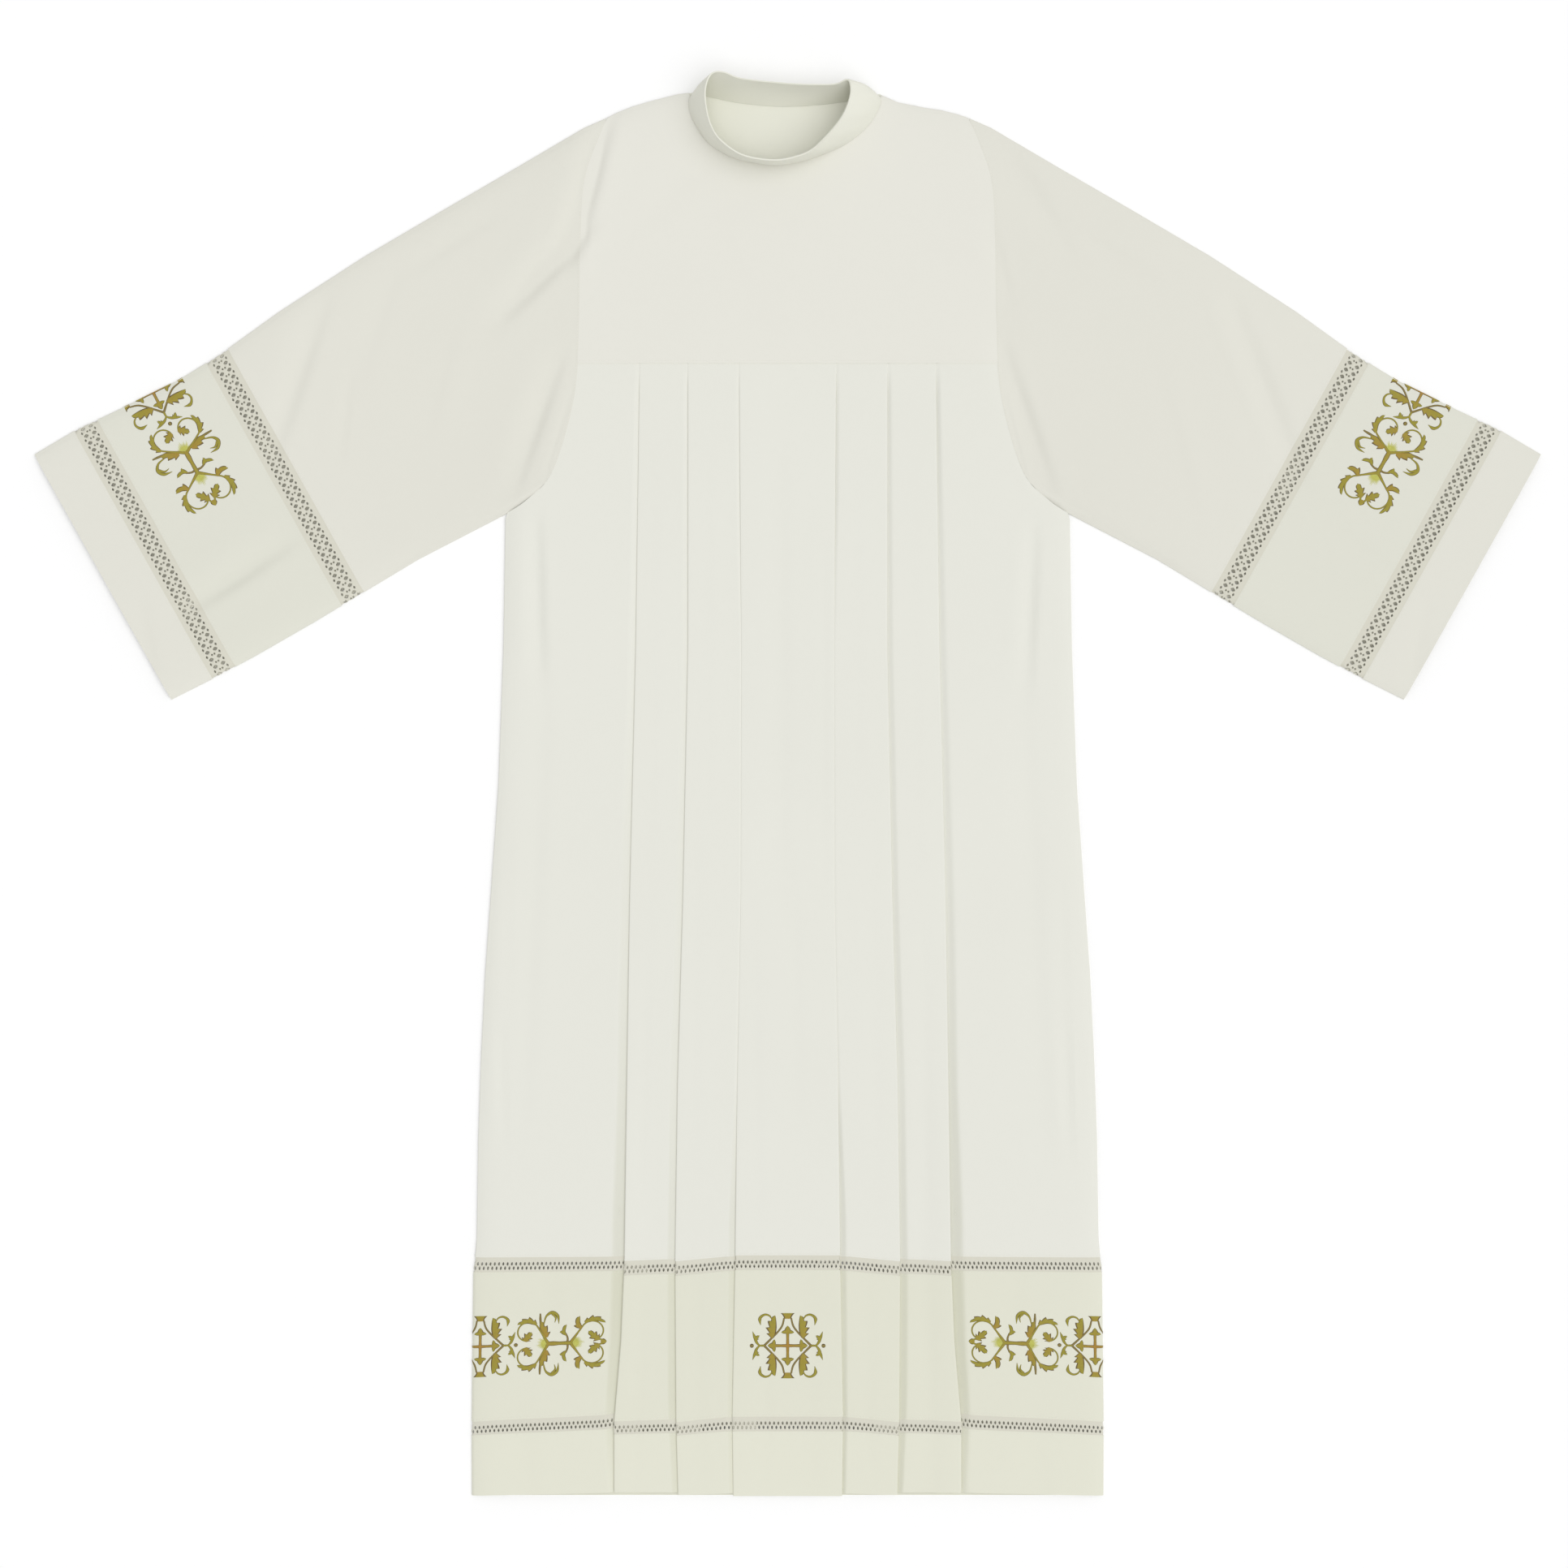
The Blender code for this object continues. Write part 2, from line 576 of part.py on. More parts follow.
def sleeve_loop(along_at, side):
    """One section round the flattened sleeve, at a length from the cuff given for each share across.

    The seam nears the cuff from the top fold to the under fold, so the points of a fold end where the seam
    has the next share, and the whole thickness of the fold stays clear of it.
    """
    def placed(share, z=None, seam_share=None):
        along = along_at(share if seam_share is None else seam_share)
        top, under = (read(SLEEVE_FOLDS, "along", along, name) for name in ("top", "under"))
        across = top + share * (under - top)
        if z is None:
            x, y = sleeve_point(along, across)
            z = max(height(side * x, y), FOLD_MID)
        return across, z, along

    top_tip, *shares, under_tip, under_edge = ARMHOLE_SHARES[1:]
    front = [placed(shares[0], FOLD_MID)] + [placed(s) for s in shares[1:-1]]
    front += [placed(shares[-1], FOLD_MID, under_tip), placed(under_tip, FOLD_MID - TURN, under_edge)]
    back = [placed(shares[-1], BACK_MID, under_tip)] + [placed(s, BACK_MID) for s in shares[-2::-1]]
    return front + back + [placed(top_tip, FOLD_MID - TURN, shares[0])]


def make_sleeve_piece(name, side, start_at, end_at, steps, colour):
    """One tube of the sleeve between two lengths, each given for every share across."""
    rows = []
    for step in range(steps + 1):
        t = step / steps
        rows.append(sleeve_loop(lambda share: (1 - t) * start_at(share) + t * end_at(share), side))
    outer, inner = section_wall(rows, WALL, True)
    for grid in (outer, inner):
        across, along = grid[:, :, 0].copy(), grid[:, :, 1].copy()
        x, y = sleeve_point(along, across)
        grid[:, :, 0], grid[:, :, 1] = side * x, y
    add_piece(name, outer, inner, True, colour)


def armhole_length(share):
    """How far from the cuff the armhole seam lies, at a share across the sleeve."""
    return float(np.interp(share, ARMHOLE_SHARES, ARMHOLE_LENGTHS))


def make_sleeve(side, word):
    """Cuff, lace, embroidered band, lace and the sleeve itself, from the cuff up to the armhole."""
    lengths = np.cumsum((0.0, CUFF_WIDTH, SLEEVE_LACE, BAND_WIDTH, SLEEVE_LACE))
    pieces = (
        ("cuff", 1, SLEEVE_CREAM),
        ("lace_lower", 1, LACE_ECRU),
        ("band", 2, SLEEVE_CREAM),
        ("lace_upper", 1, LACE_ECRU),
    )
    for (part, steps, colour), start, end in zip(pieces, lengths[:-1], lengths[1:]):
        low = start + SEAM / 2 * (start > 0)
        high = end - SEAM / 2
        make_sleeve_piece(
            f"sleeve_{word}_{part}", side, lambda share: low, lambda share: high, steps, colour
        )
    low = lengths[-1] + SEAM / 2
    make_sleeve_piece(f"sleeve_{word}", side, lambda share: low, armhole_length, 7, SLEEVE_CREAM)


for old in list(bpy.data.objects):
    bpy.data.objects.remove(old, do_unlink=True)
ROBE = bpy.data.objects.new("alb_robe", None)
bpy.context.scene.collection.objects.link(ROBE)

make_back()
make_front()
make_yoke()
make_collar()
make_hem()
make_sleeve(-1, "left")
make_sleeve(1, "right")
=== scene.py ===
"""The looks of a long white alb laid flat with its front up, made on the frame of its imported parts.

Sizes are in millimetres in the robe's own lay, with X across it and Y up to the collar, and become metres in
each mesh. Left and right are as seen from above with the collar at the top.
"""

from collections import namedtuple
from functools import partial
from math import cos, pi, radians, sin

import bpy
import numpy as np
from mathutils.geometry import delaunay_2d_cdt
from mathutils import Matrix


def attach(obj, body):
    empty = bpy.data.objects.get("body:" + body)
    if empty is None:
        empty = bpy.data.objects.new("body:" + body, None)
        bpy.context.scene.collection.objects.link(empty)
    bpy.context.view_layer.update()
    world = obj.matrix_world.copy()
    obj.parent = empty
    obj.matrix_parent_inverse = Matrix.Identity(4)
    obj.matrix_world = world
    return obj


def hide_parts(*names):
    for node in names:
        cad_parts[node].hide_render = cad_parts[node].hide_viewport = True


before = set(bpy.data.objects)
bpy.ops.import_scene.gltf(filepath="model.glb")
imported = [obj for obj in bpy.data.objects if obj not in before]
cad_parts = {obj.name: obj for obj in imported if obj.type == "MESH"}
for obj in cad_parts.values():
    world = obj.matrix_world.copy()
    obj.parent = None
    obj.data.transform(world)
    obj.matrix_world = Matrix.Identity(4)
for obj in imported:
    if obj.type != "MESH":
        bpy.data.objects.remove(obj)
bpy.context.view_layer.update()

# Back panel. One plain piece of white cotton that the robe lies on. It is cut to the same side seams,
# armholes and shoulders as the front, and its neckline shows inside the collar.
MM = 0.001
MIDDLE_Y = -2.78  # the middle of the robe's box, in its own lay
CLOTH = 0.7
BACK_LEVEL = CLOTH / 2  # middle of the cloth that lies on the surface
FOLD_RADIUS = 0.875
YOKE_SEAM = 429.0
HEM_LACE_TOP = -477.5
HEM = -721.6

SideEdge = namedtuple("SideEdge", "y half_width")
SIDE_EDGE = [SideEdge(*row) for row in (
    (268, 286.7), (138, 288.8), (0, 293.8), (-110, 301.5), (-192, 307.3), (-275, 311.4), (-357, 314.3),
    (-462, 315.8), (-493, 319.3), (-642, 321), (-722, 320.8),
)]
Shoulder = namedtuple("Shoulder", "x left_y right_y")
SHOULDER = [Shoulder(*row) for row in (
    (94, 703.5, 701), (112, 701.2, 693), (140, 694, 687.4), (157, 688.9, 684.8), (173, 682.6, 680.8),
    (183.6, 677.2, 677.2),
)]
Armhole = namedtuple("Armhole", "x y")
ARMHOLE = [Armhole(*row) for row in (
    (183.6, 677.2), (205, 620.4), (210, 566.8), (211.6, 467.8), (216.6, 393.5), (238, 319.3),
    (264.4, 289.5), (285, 276),
)]
# The collar's seam and rim, round from the middle of the front, and the piece that each point is sewn to
CollarPoint = namedtuple("CollarPoint", "seam_x seam_y rim_x rim_y rim_z sewn_to")
COLLAR = [CollarPoint(*row) for row in (
    (-13.6, 630, -13.4, 626.6, 38, "yoke"), (12, 632.5, 10.2, 630.7, 38, "yoke"),
    (33, 639, 25.6, 638, 38, "yoke"), (58.9, 650.5, 41.1, 653.5, 38, "yoke"),
    (78.6, 666, 52.5, 667.7, 38, "yoke"), (90, 682, 59.8, 682.5, 37, "yoke"),
    (94, 696, 63, 697, 36, "yoke"), (83, 699.5, 60, 708, 35, "back"), (53, 694, 46.9, 704.6, 31, "back"),
    (20, 690.5, 17.5, 704.3, 31, "back"), (-13.6, 690, -13.5, 706.3, 31, "back"),
    (-50, 693.5, -47.7, 709.9, 33, "back"), (-77, 699, -64, 715, 37, "back"),
    (-92, 702, -76, 713.5, 38, "back"), (-99, 696.5, -82, 701, 38, "yoke"),
    (-99, 684, -82.3, 684, 38, "yoke"), (-92, 668, -77.5, 663, 38, "yoke"),
    (-77.8, 649.5, -67, 646.5, 38, "yoke"), (-52, 636, -44.4, 631.5, 38, "yoke"),
)]
# Soft creases, each the run of its steep side with a width and a depth; a negative depth is a ridge
Crease = namedtuple("Crease", "x0 y0 x1 y1 width depth")
CREASES_LEAN = (0.92, -0.39)  # the side of a trough on which it is steep, and a ridge is gentle
CREASE_GAIN = 2.3  # so that a trough with its raised sides is as deep as its table says
STEEP_REACH, GENTLE_REACH = 0.56, 1.1  # how far a crease goes on each side, in its widths
CREASE_SIDES = (0.3, 2.2)  # the raised sides of a trough: their share of its depth, and their reach
BACK_RAISE = 0.5  # how far the laces and the embroidery hold the back off the surface
UNDERARM_Y = 276.0
LEVEL_UNDER = 560.0  # under this height the rows of the back lie level, over it they follow its upper edge
UNDER_CREASES = [Crease(*row) for row in (
    (-236, 640, -262, 520, 17, -1.5), (-150, 520, -176, 250, 13, -0.6), (214, 600, 268, 470, 20, -1.6),
    (262, 240, 274, -60, 12, -1.2), (-258, 130, -276, -240, 14, -1.3), (60, 470, 52, 120, 16, -0.5),
    (-20, 330, -34, -280, 15, -0.6), (190, 60, 206, -360, 13, -0.7), (-420, 500, -466, 330, 18, -1.6),
    (-560, 330, -610, 190, 17, -1.4), (430, 430, 498, 290, 19, -1.5), (560, 380, 602, 240, 15, -1.2),
    (250, -560, 238, -700, 16, -0.7), (-196, -520, -206, -690, 17, -0.6),
)]


def column(table, name):
    """One named column of a table."""
    return [getattr(row, name) for row in table]


def read(table, key, value, name):
    """The named column at values of the key column, on straight lines between rows."""
    keys, values = column(table, key), column(table, name)
    if keys[0] > keys[-1]:
        keys, values = keys[::-1], values[::-1]
    return np.interp(value, keys, values)


def smooth_curve(points, steps, closed=False):
    """A smooth curve through the points, with the given steps between two of them."""
    points = np.array(points, float)
    count = len(points)
    result = []
    for i in range(count if closed else count - 1):
        near = [i - 1, i, i + 1, i + 2]
        a, b, c, d = points[[k % count if closed else min(max(k, 0), count - 1) for k in near]]
        t = np.arange(steps)[:, None] / steps
        result.append(
            0.5 * (2 * b + (c - a) * t + (2 * a - 5 * b + 4 * c - d) * t**2 + (3 * b - a - 3 * c + d) * t**3)
        )
    if not closed:
        result.append(points[-1:])
    return np.concatenate(result)


def even_run(line, count):
    """The line again, with its points evenly spaced."""
    lengths = np.insert(np.cumsum(np.linalg.norm(np.diff(line, axis=0), axis=1)), 0, 0)
    spots = np.linspace(0, lengths[-1], count)
    return np.stack([np.interp(spots, lengths, line[:, k]) for k in range(line.shape[1])], axis=1)


def distance_to_run(x, y, start, end):
    """How far plan points are from a straight run, and how far along it they are, from 0 to 1."""
    run_x, run_y = end[0] - start[0], end[1] - start[1]
    t = np.clip(((x - start[0]) * run_x + (y - start[1]) * run_y) / (run_x**2 + run_y**2), 0, 1)
    return np.hypot(x - start[0] - t * run_x, y - start[1] - t * run_y), t


def creased(x, y, creases):
    """How much the creases lower the cloth at plan points: steep on one side, gentle on the other."""
    lowered = np.zeros(np.broadcast(x, y).shape)
    for crease in creases:
        run = np.array((crease.x1 - crease.x0, crease.y1 - crease.y0))
        length = float(np.hypot(*run))
        across = np.array((-run[1], run[0])) / length
        across = across if across @ CREASES_LEAN > 0 else -across
        along = ((x - crease.x0) * run[0] + (y - crease.y0) * run[1]) / length**2
        side = (x - crease.x0) * across[0] + (y - crease.y0) * across[1]
        kind = 1.0 if crease.depth > 0 else -1.0
        off = kind * side / crease.width + 0.4
        reach = np.where(off > 0, STEEP_REACH, GENTLE_REACH)
        beyond = np.maximum(np.abs(along - 0.5) - 0.5, 0) * length / (1.6 * crease.width)
        middle = 0.6 + 0.4 * np.sin(pi * np.clip(along, 0, 1))
        side_share, side_reach = CREASE_SIDES
        trough = np.exp(-((off / reach) ** 2)) - side_share * np.exp(-((off / (side_reach * reach)) ** 2))
        lowered += CREASE_GAIN * crease.depth * trough * np.exp(-(beyond**2)) * middle
    return lowered


ARMHOLE_SEAM = even_run(smooth_curve(ARMHOLE, 12), 120)
BODY_EDGE = np.concatenate([ARMHOLE_SEAM, [(row.half_width, row.y) for row in SIDE_EDGE]])


def half_width(y):
    """Half the width of the body at a height: to the armhole above the underarm, to the side edge below."""
    return np.interp(y, BODY_EDGE[::-1, 1], BODY_EDGE[::-1, 0])


def back_top(x):
    """The back's upper edge: the shoulder outside the neck, the neckline inside it."""
    neckline = sorted((p.seam_x, p.seam_y) for p in COLLAR if p.sewn_to == "back")
    outside = SHOULDER[0].x
    neckline = [(-outside, SHOULDER[0].left_y)] + neckline + [(outside, SHOULDER[0].right_y)]
    inside = np.interp(x, *zip(*neckline)) + 1.0
    shoulder = np.where(x < 0, read(SHOULDER, "x", -x, "left_y"), read(SHOULDER, "x", x, "right_y"))
    return np.where(np.abs(x) < outside, inside, shoulder)


def surface_normals(middle, closed):
    """Unit normals of a surface given as rows down and columns across."""
    down = np.gradient(middle, axis=0)
    across = np.gradient(middle, axis=1)
    if closed:
        across = np.roll(middle, -1, axis=1) - np.roll(middle, 1, axis=1)
    normal = np.cross(down, across)
    return normal / np.maximum(np.linalg.norm(normal, axis=2), 1e-9)[:, :, None]


def length_across(middle, closed):
    """Length along each row from its first column, with one more column that closes a ring."""
    line = np.concatenate([middle, middle[:, :1]], axis=1) if closed else middle
    steps = np.linalg.norm(np.diff(line, axis=1), axis=2)
    return np.concatenate([np.zeros((len(middle), 1)), np.cumsum(steps, axis=1)], axis=1)


def to_frame(points):
    """Places of the robe's lay in millimetres as places of the frame in metres."""
    return (np.asarray(points, float) - (0.0, MIDDLE_Y, 0.0)) * MM


def new_mesh(name, points, faces, edges=()):
    """A mesh of points given in the robe's lay."""
    mesh = bpy.data.meshes.new(name)
    mesh.from_pydata(to_frame(points).tolist(), list(edges), faces)
    return mesh


def put_in_scene(name, data):
    """A new object at the origin with the given data."""
    item = bpy.data.objects.new(name, data)
    bpy.context.scene.collection.objects.link(item)
    return item


def cloth_wall(name, middle, material, closed=False, wall=CLOTH, grain=None, shade=None):
    """A piece of cloth as a thin wall round its middle surface, with its grain as a UV map in metres.

    A painted shade for each point, which makes the cloth darker and yellower in the strips beside its folds,
    becomes a second UV map.
    """
    middle = np.asarray(middle, float)
    rows, columns = middle.shape[:2]
    normal = surface_normals(middle, closed)
    points = np.concatenate([(middle + way * normal * wall / 2).reshape(-1, 3) for way in (1, -1)])
    if grain is None:
        along = np.repeat(middle[:, :1, 1], columns + closed, axis=1)
        grain = np.stack([length_across(middle, closed), along], axis=2)
    wide = grain.shape[1]
    across, down = np.arange(columns - 1 + closed), np.arange(rows - 1)
    r, c = (v.ravel() for v in np.meshgrid(down, across, indexing="ij"))
    last, end = rows - 1, columns - 1
    quads = [
        ((r, c, 0), (r + 1, c, 0), (r + 1, c + 1, 0), (r, c + 1, 0)),
        ((r, c + 1, 1), (r + 1, c + 1, 1), (r + 1, c, 1), (r, c, 1)),
        ((0, across, 0), (0, across + 1, 0), (0, across + 1, 1), (0, across, 1)),
        ((last, across, 1), (last, across + 1, 1), (last, across + 1, 0), (last, across, 0)),
    ]
    if not closed:
        quads.append(((down, 0, 1), (down + 1, 0, 1), (down + 1, 0, 0), (down, 0, 0)))
        quads.append(((down, end, 0), (down + 1, end, 0), (down + 1, end, 1), (down, end, 1)))
    faces, places = [], []
    for quad in quads:
        corners = [(side * rows + row) * columns + spot % columns for row, spot, side in quad]
        faces.append(np.stack(corners, axis=1))
        places.append(np.stack([row * wide + spot for row, spot, _ in quad], axis=1))
    faces, places = np.concatenate(faces), np.concatenate(places)
    a, b, d, e = (points[faces[:, k]] for k in range(4))
    if (a * np.cross(b, d)).sum() + (a * np.cross(d, e)).sum() < 0:
        faces, places = faces[:, ::-1], places[:, ::-1]
    mesh = new_mesh(name, points, faces.tolist())
    layers = {"grain": grain.reshape(-1, 2)[places.ravel()] * MM}
    if shade is not None:
        layers["shade"] = np.repeat(np.tile(np.ravel(shade), 2)[faces.ravel()][:, None], 2, axis=1)
    for label, values in layers.items():
        mesh.uv_layers.new(name=label)
        mesh.uv_layers[label].uv.foreach_set("vector", values.ravel())
    mesh.shade_smooth()
    mesh.set_sharp_from_angle(angle=radians(50))
    mesh.materials.append(material)
    return put_in_scene(name, mesh)


def linear_colour(r, g, b):
    """A colour given from 0 to 255 as a shader takes it."""
    return (*[((v / 255 + 0.055) / 1.055) ** 2.4 for v in (r, g, b)], 1.0)


def feed(tree, node, inputs):
    """Links sockets to a node's inputs or sets their values, each by its name or its place."""
    for place, value in inputs.items():
        if isinstance(value, bpy.types.NodeSocket):
            tree.links.new(value, node.inputs[place])
        else:
            node.inputs[place].default_value = value


def add(tree, kind, inputs=None, **settings):
    """A new node of a tree, with its settings made before its inputs are fed."""
    node = tree.nodes.new(kind)
    for label, value in settings.items():
        setattr(node, label, value)
    feed(tree, node, inputs or {})
    return node


def node_group(name, inputs, outputs):
    """An empty shader group with named sockets; returns it with its input's outputs and its output node."""
    group = bpy.data.node_groups.new(name, "ShaderNodeTree")
    for label, kind, default in inputs:
        socket = group.interface.new_socket(label, in_out="INPUT", socket_type="NodeSocket" + kind)
        if default is not None:
            socket.default_value = default
    for label, kind in outputs:
        group.interface.new_socket(label, in_out="OUTPUT", socket_type="NodeSocket" + kind)
    return group, add(group, "NodeGroupInput").outputs, add(group, "NodeGroupOutput")


def maths(tree, operation, *values):
    """A Math node whose inputs are numbers or sockets; returns its result."""
    return add(tree, "ShaderNodeMath", dict(enumerate(values)), operation=operation).outputs[0]


def held_between(tree, value, low, high):
    """A value socket kept from going under the low or over the high value."""
    return maths(tree, "MINIMUM", maths(tree, "MAXIMUM", value, low), high)


def noise(tree, place, scale, detail, roughness=0.5):
    """A Noise node at a place; returns its value."""
    inputs = {"Vector": place, "Scale": scale, "Detail": detail, "Roughness": roughness}
    return add(tree, "ShaderNodeTexNoise", inputs).outputs["Fac"]


def mixed(tree, first, second, amount=1.0, blend="MIX"):
    """Two colours mixed by an amount; the second may also be a value socket."""
    inputs = {"Factor": amount, "A": first, "B": second}
    return add(tree, "ShaderNodeMix", inputs, data_type="RGBA", blend_type=blend).outputs["Result"]


def split(tree, vector):
    """The X, Y and Z outputs of a vector socket."""
    return add(tree, "ShaderNodeSeparateXYZ", {0: vector}).outputs


SURFACE_OUTPUTS = (("Colour", "Color"), ("Roughness", "Float"), ("Normal", "Vector"))
# Painted shade: in the strips beside the pleats' folds, where shade falls, the cloth's colour is made darker
# and yellower.
PAINTED_FOLD_TINT = (0.52, 0.52, 0.36, 1.0)  # what the full fold shade leaves of the cloth's colour


def make_plain_weave():
    """Plain weave on the cloth's grain: threads over and under, slubs, faint ageing, soft rumples, painted
    light on the raised threads and painted shade beside the folds.
    """
    inputs = (
        ("Grain", "Vector", None),
        ("Colour", "Color", (0.8, 0.8, 0.8, 1.0)),
        ("Threads per metre", "Float", 2200.0),
        ("Thread relief", "Float", 0.00006),
        ("Rumple", "Float", 0.0003),
        ("Ageing", "Float", 0.03),
        ("Fold shade", "Vector", (0.0, 0.0, 0.0)),
    )
    group, given, result = node_group("plain_weave", inputs, SURFACE_OUTPUTS)
    calc = partial(maths, group)
    grain = split(group, given["Grain"])
    turns = (calc("MULTIPLY", grain[axis], given["Threads per metre"]) for axis in "XY")
    across, along = (calc("SINE", calc("MULTIPLY", turn, pi)) for turn in turns)
    over = calc("MULTIPLY", across, along)
    warp = calc("MULTIPLY", calc("ABSOLUTE", across), calc("MULTIPLY_ADD", over, 0.5, 0.5))
    weft = calc("MULTIPLY", calc("ABSOLUTE", along), calc("MULTIPLY_ADD", over, -0.5, 0.5))
    slub = noise(group, given["Grain"], 160.0, 3.0)
    threads = calc("MULTIPLY", calc("MAXIMUM", warp, weft), calc("MULTIPLY_ADD", slub, 0.8, 0.6))
    rumple = calc("MULTIPLY", noise(group, given["Grain"], 16.0, 2.0, 0.45), given["Rumple"])
    height = calc("MULTIPLY_ADD", threads, given["Thread relief"], rumple)
    bump = add(group, "ShaderNodeBump", {"Strength": 1.0, "Distance": 1.0, "Height": height})
    age = calc("SUBTRACT", noise(group, given["Grain"], 4.5, 4.0), 0.5)
    aged = calc("MULTIPLY_ADD", age, given["Ageing"], 0.985)
    # The raised parts of the threads are painted a touch lighter: painted light.
    brightness = calc("ADD", aged, calc("MULTIPLY", threads, 0.03))
    colour = mixed(group, given["Colour"], brightness, blend="MULTIPLY")
    # Painted shade from the piece's shade UV map: the cloth is darker and yellower in the strips beside the
    # folds.
    folds = split(group, given["Fold shade"])["X"]
    outputs = {
        "Colour": mixed(group, colour, PAINTED_FOLD_TINT, folds, "MULTIPLY"),
        "Roughness": calc("MULTIPLY_ADD", slub, 0.12, 0.8),
        "Normal": bump.outputs["Normal"],
    }
    feed(group, result, outputs)
    return group


PLAIN_WEAVE = make_plain_weave()


def new_material(name):
    """A material with nodes, its tree and its Principled shader."""
    material = bpy.data.materials.new(name)
    material.use_nodes = True
    return material, material.node_tree, material.node_tree.nodes["Principled BSDF"]


def uv_place(tree, name):
    """A place on one of the piece's own UV maps."""
    return add(tree, "ShaderNodeUVMap", uv_map=name).outputs["UV"]


def finish_of(group, name, inputs, constants):
    """A material whose Principled shader takes a group's outputs; an input given as a name is a UV map."""
    material, tree, shader = new_material(name)
    surface = add(tree, "ShaderNodeGroup", node_tree=group)
    for label, value in inputs.items():
        feed(tree, surface, {label: uv_place(tree, value) if isinstance(value, str) else value})
    colour, roughness, normal = surface.outputs
    feed(tree, shader, {"Base Color": colour, "Roughness": roughness, "Normal": normal, **constants})
    return material


def woven_cotton(name, colour, rumple=0.0003, ageing=0.03, threads=2200.0, relief=0.00006, folds=False):
    """A cotton cloth finish of the given colour on the piece's own grain, with painted shade beside its
    pleats' folds if asked.
    """
    inputs = {
        "Grain": "grain",
        "Colour": linear_colour(*colour),
        "Threads per metre": threads,
        "Thread relief": relief,
        "Rumple": rumple,
        "Ageing": ageing,
    }
    if folds:
        inputs["Fold shade"] = "shade"
    constants = {"Sheen Weight": 0.15, "Sheen Roughness": 0.5, "Specular IOR Level": 0.25}
    return finish_of(PLAIN_WEAVE, name, inputs, constants)


def flat_size(middle, closed=False):
    """Width, length and area of a piece's cut, from its middle surface, in metres."""
    across = length_across(middle, closed)
    ring = np.concatenate([middle, middle[:, :1]], axis=1) if closed else middle
    down = np.linalg.norm(np.diff(ring, axis=0), axis=2)
    width, length = float(across[:, -1].max() * MM), float(down.sum(0).max() * MM)
    cells = np.diff((across[1:] + across[:-1]) / 2, axis=1) * (down[:, 1:] + down[:, :-1]) / 2
    return width, length, min(float(cells.sum()) * MM * MM, width * length)


def sew_in(piece, middle, node, closed=False):
    """Puts a cloth piece in its CAD node's place, and works out the size of the cut that it was sewn from."""
    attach(piece, "root")
    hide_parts(node)
    width, length, area = flat_size(np.asarray(middle, float), closed)


def back_raised(y):
    """How far the laces and the embroidery under the hem hold its back off the surface."""
    heights = (HEM + 6.0, HEM + 50.0, HEM_LACE_TOP, HEM_LACE_TOP + 40.0)
    return BACK_RAISE * np.interp(y, heights, (0.0, 1.0, 1.0, 0.0))


def back_surface():
    """Middle surface of the back panel."""
    upper = np.linspace(ARMHOLE_SEAM[0, 1], UNDERARM_Y, 46)[:-1]
    heights = np.concatenate([upper, np.linspace(UNDERARM_Y, HEM_LACE_TOP, 74)])
    shares = np.linspace(-1, 1, 91)
    y = np.repeat(heights[:, None], len(shares), axis=1)
    x = shares * half_width(heights)[:, None]
    y = y + np.interp(heights, (LEVEL_UNDER, heights[0]), (0, 1))[:, None] * (back_top(x) - heights[0])
    y[-1] -= 2.2  # the last row reaches under the lace
    inside = np.minimum(half_width(heights)[:, None] - np.abs(x), 40.0) / 40.0
    lift = np.clip(-creased(x, y, UNDER_CREASES), 0, 1.6) * np.clip(inside, 0, 1)
    return np.stack([x, y, BACK_LEVEL + lift + back_raised(y)], axis=2)


back_cotton = woven_cotton("back_cotton", (230, 230, 218))
back_middle = back_surface()
back = cloth_wall("back_panel", back_middle, back_cotton)
sew_in(back, back_middle, "back")

# Front yoke. A plain cotton piece over the chest, sewn to the collar, to the shoulders and armholes, and
# along its lower edge to the pleated front. It lies softly, with a trough beside each armhole.
LOFT = 3.3  # how much higher the front cloth lies away from the robe's edges
LOFT_RUN = 9.0
EDGE_LEVEL = BACK_LEVEL + 2 * FOLD_RADIUS
HIGHEST = 6.4
SLEEVE_CORNER = (765.2, 335.8)
SLEEVE_DROOP = radians(29.2)
SleeveFold = namedtuple("SleeveFold", "along top under")
SLEEVE_FOLDS = [SleeveFold(*row) for row in (
    (0, 0, 285.5), (50, -1.2, 287.6), (95, 2.1, 288.4), (164, 5.6, 287.6), (213, 3.5, 286),
    (288, -5.2, 283.6), (391, -11.9, 286.9), (482, -13.9, 286.9), (573, -15.3, 286.9), (649, -17, 286.9),
    (676, -14.4, 286.9),
)]
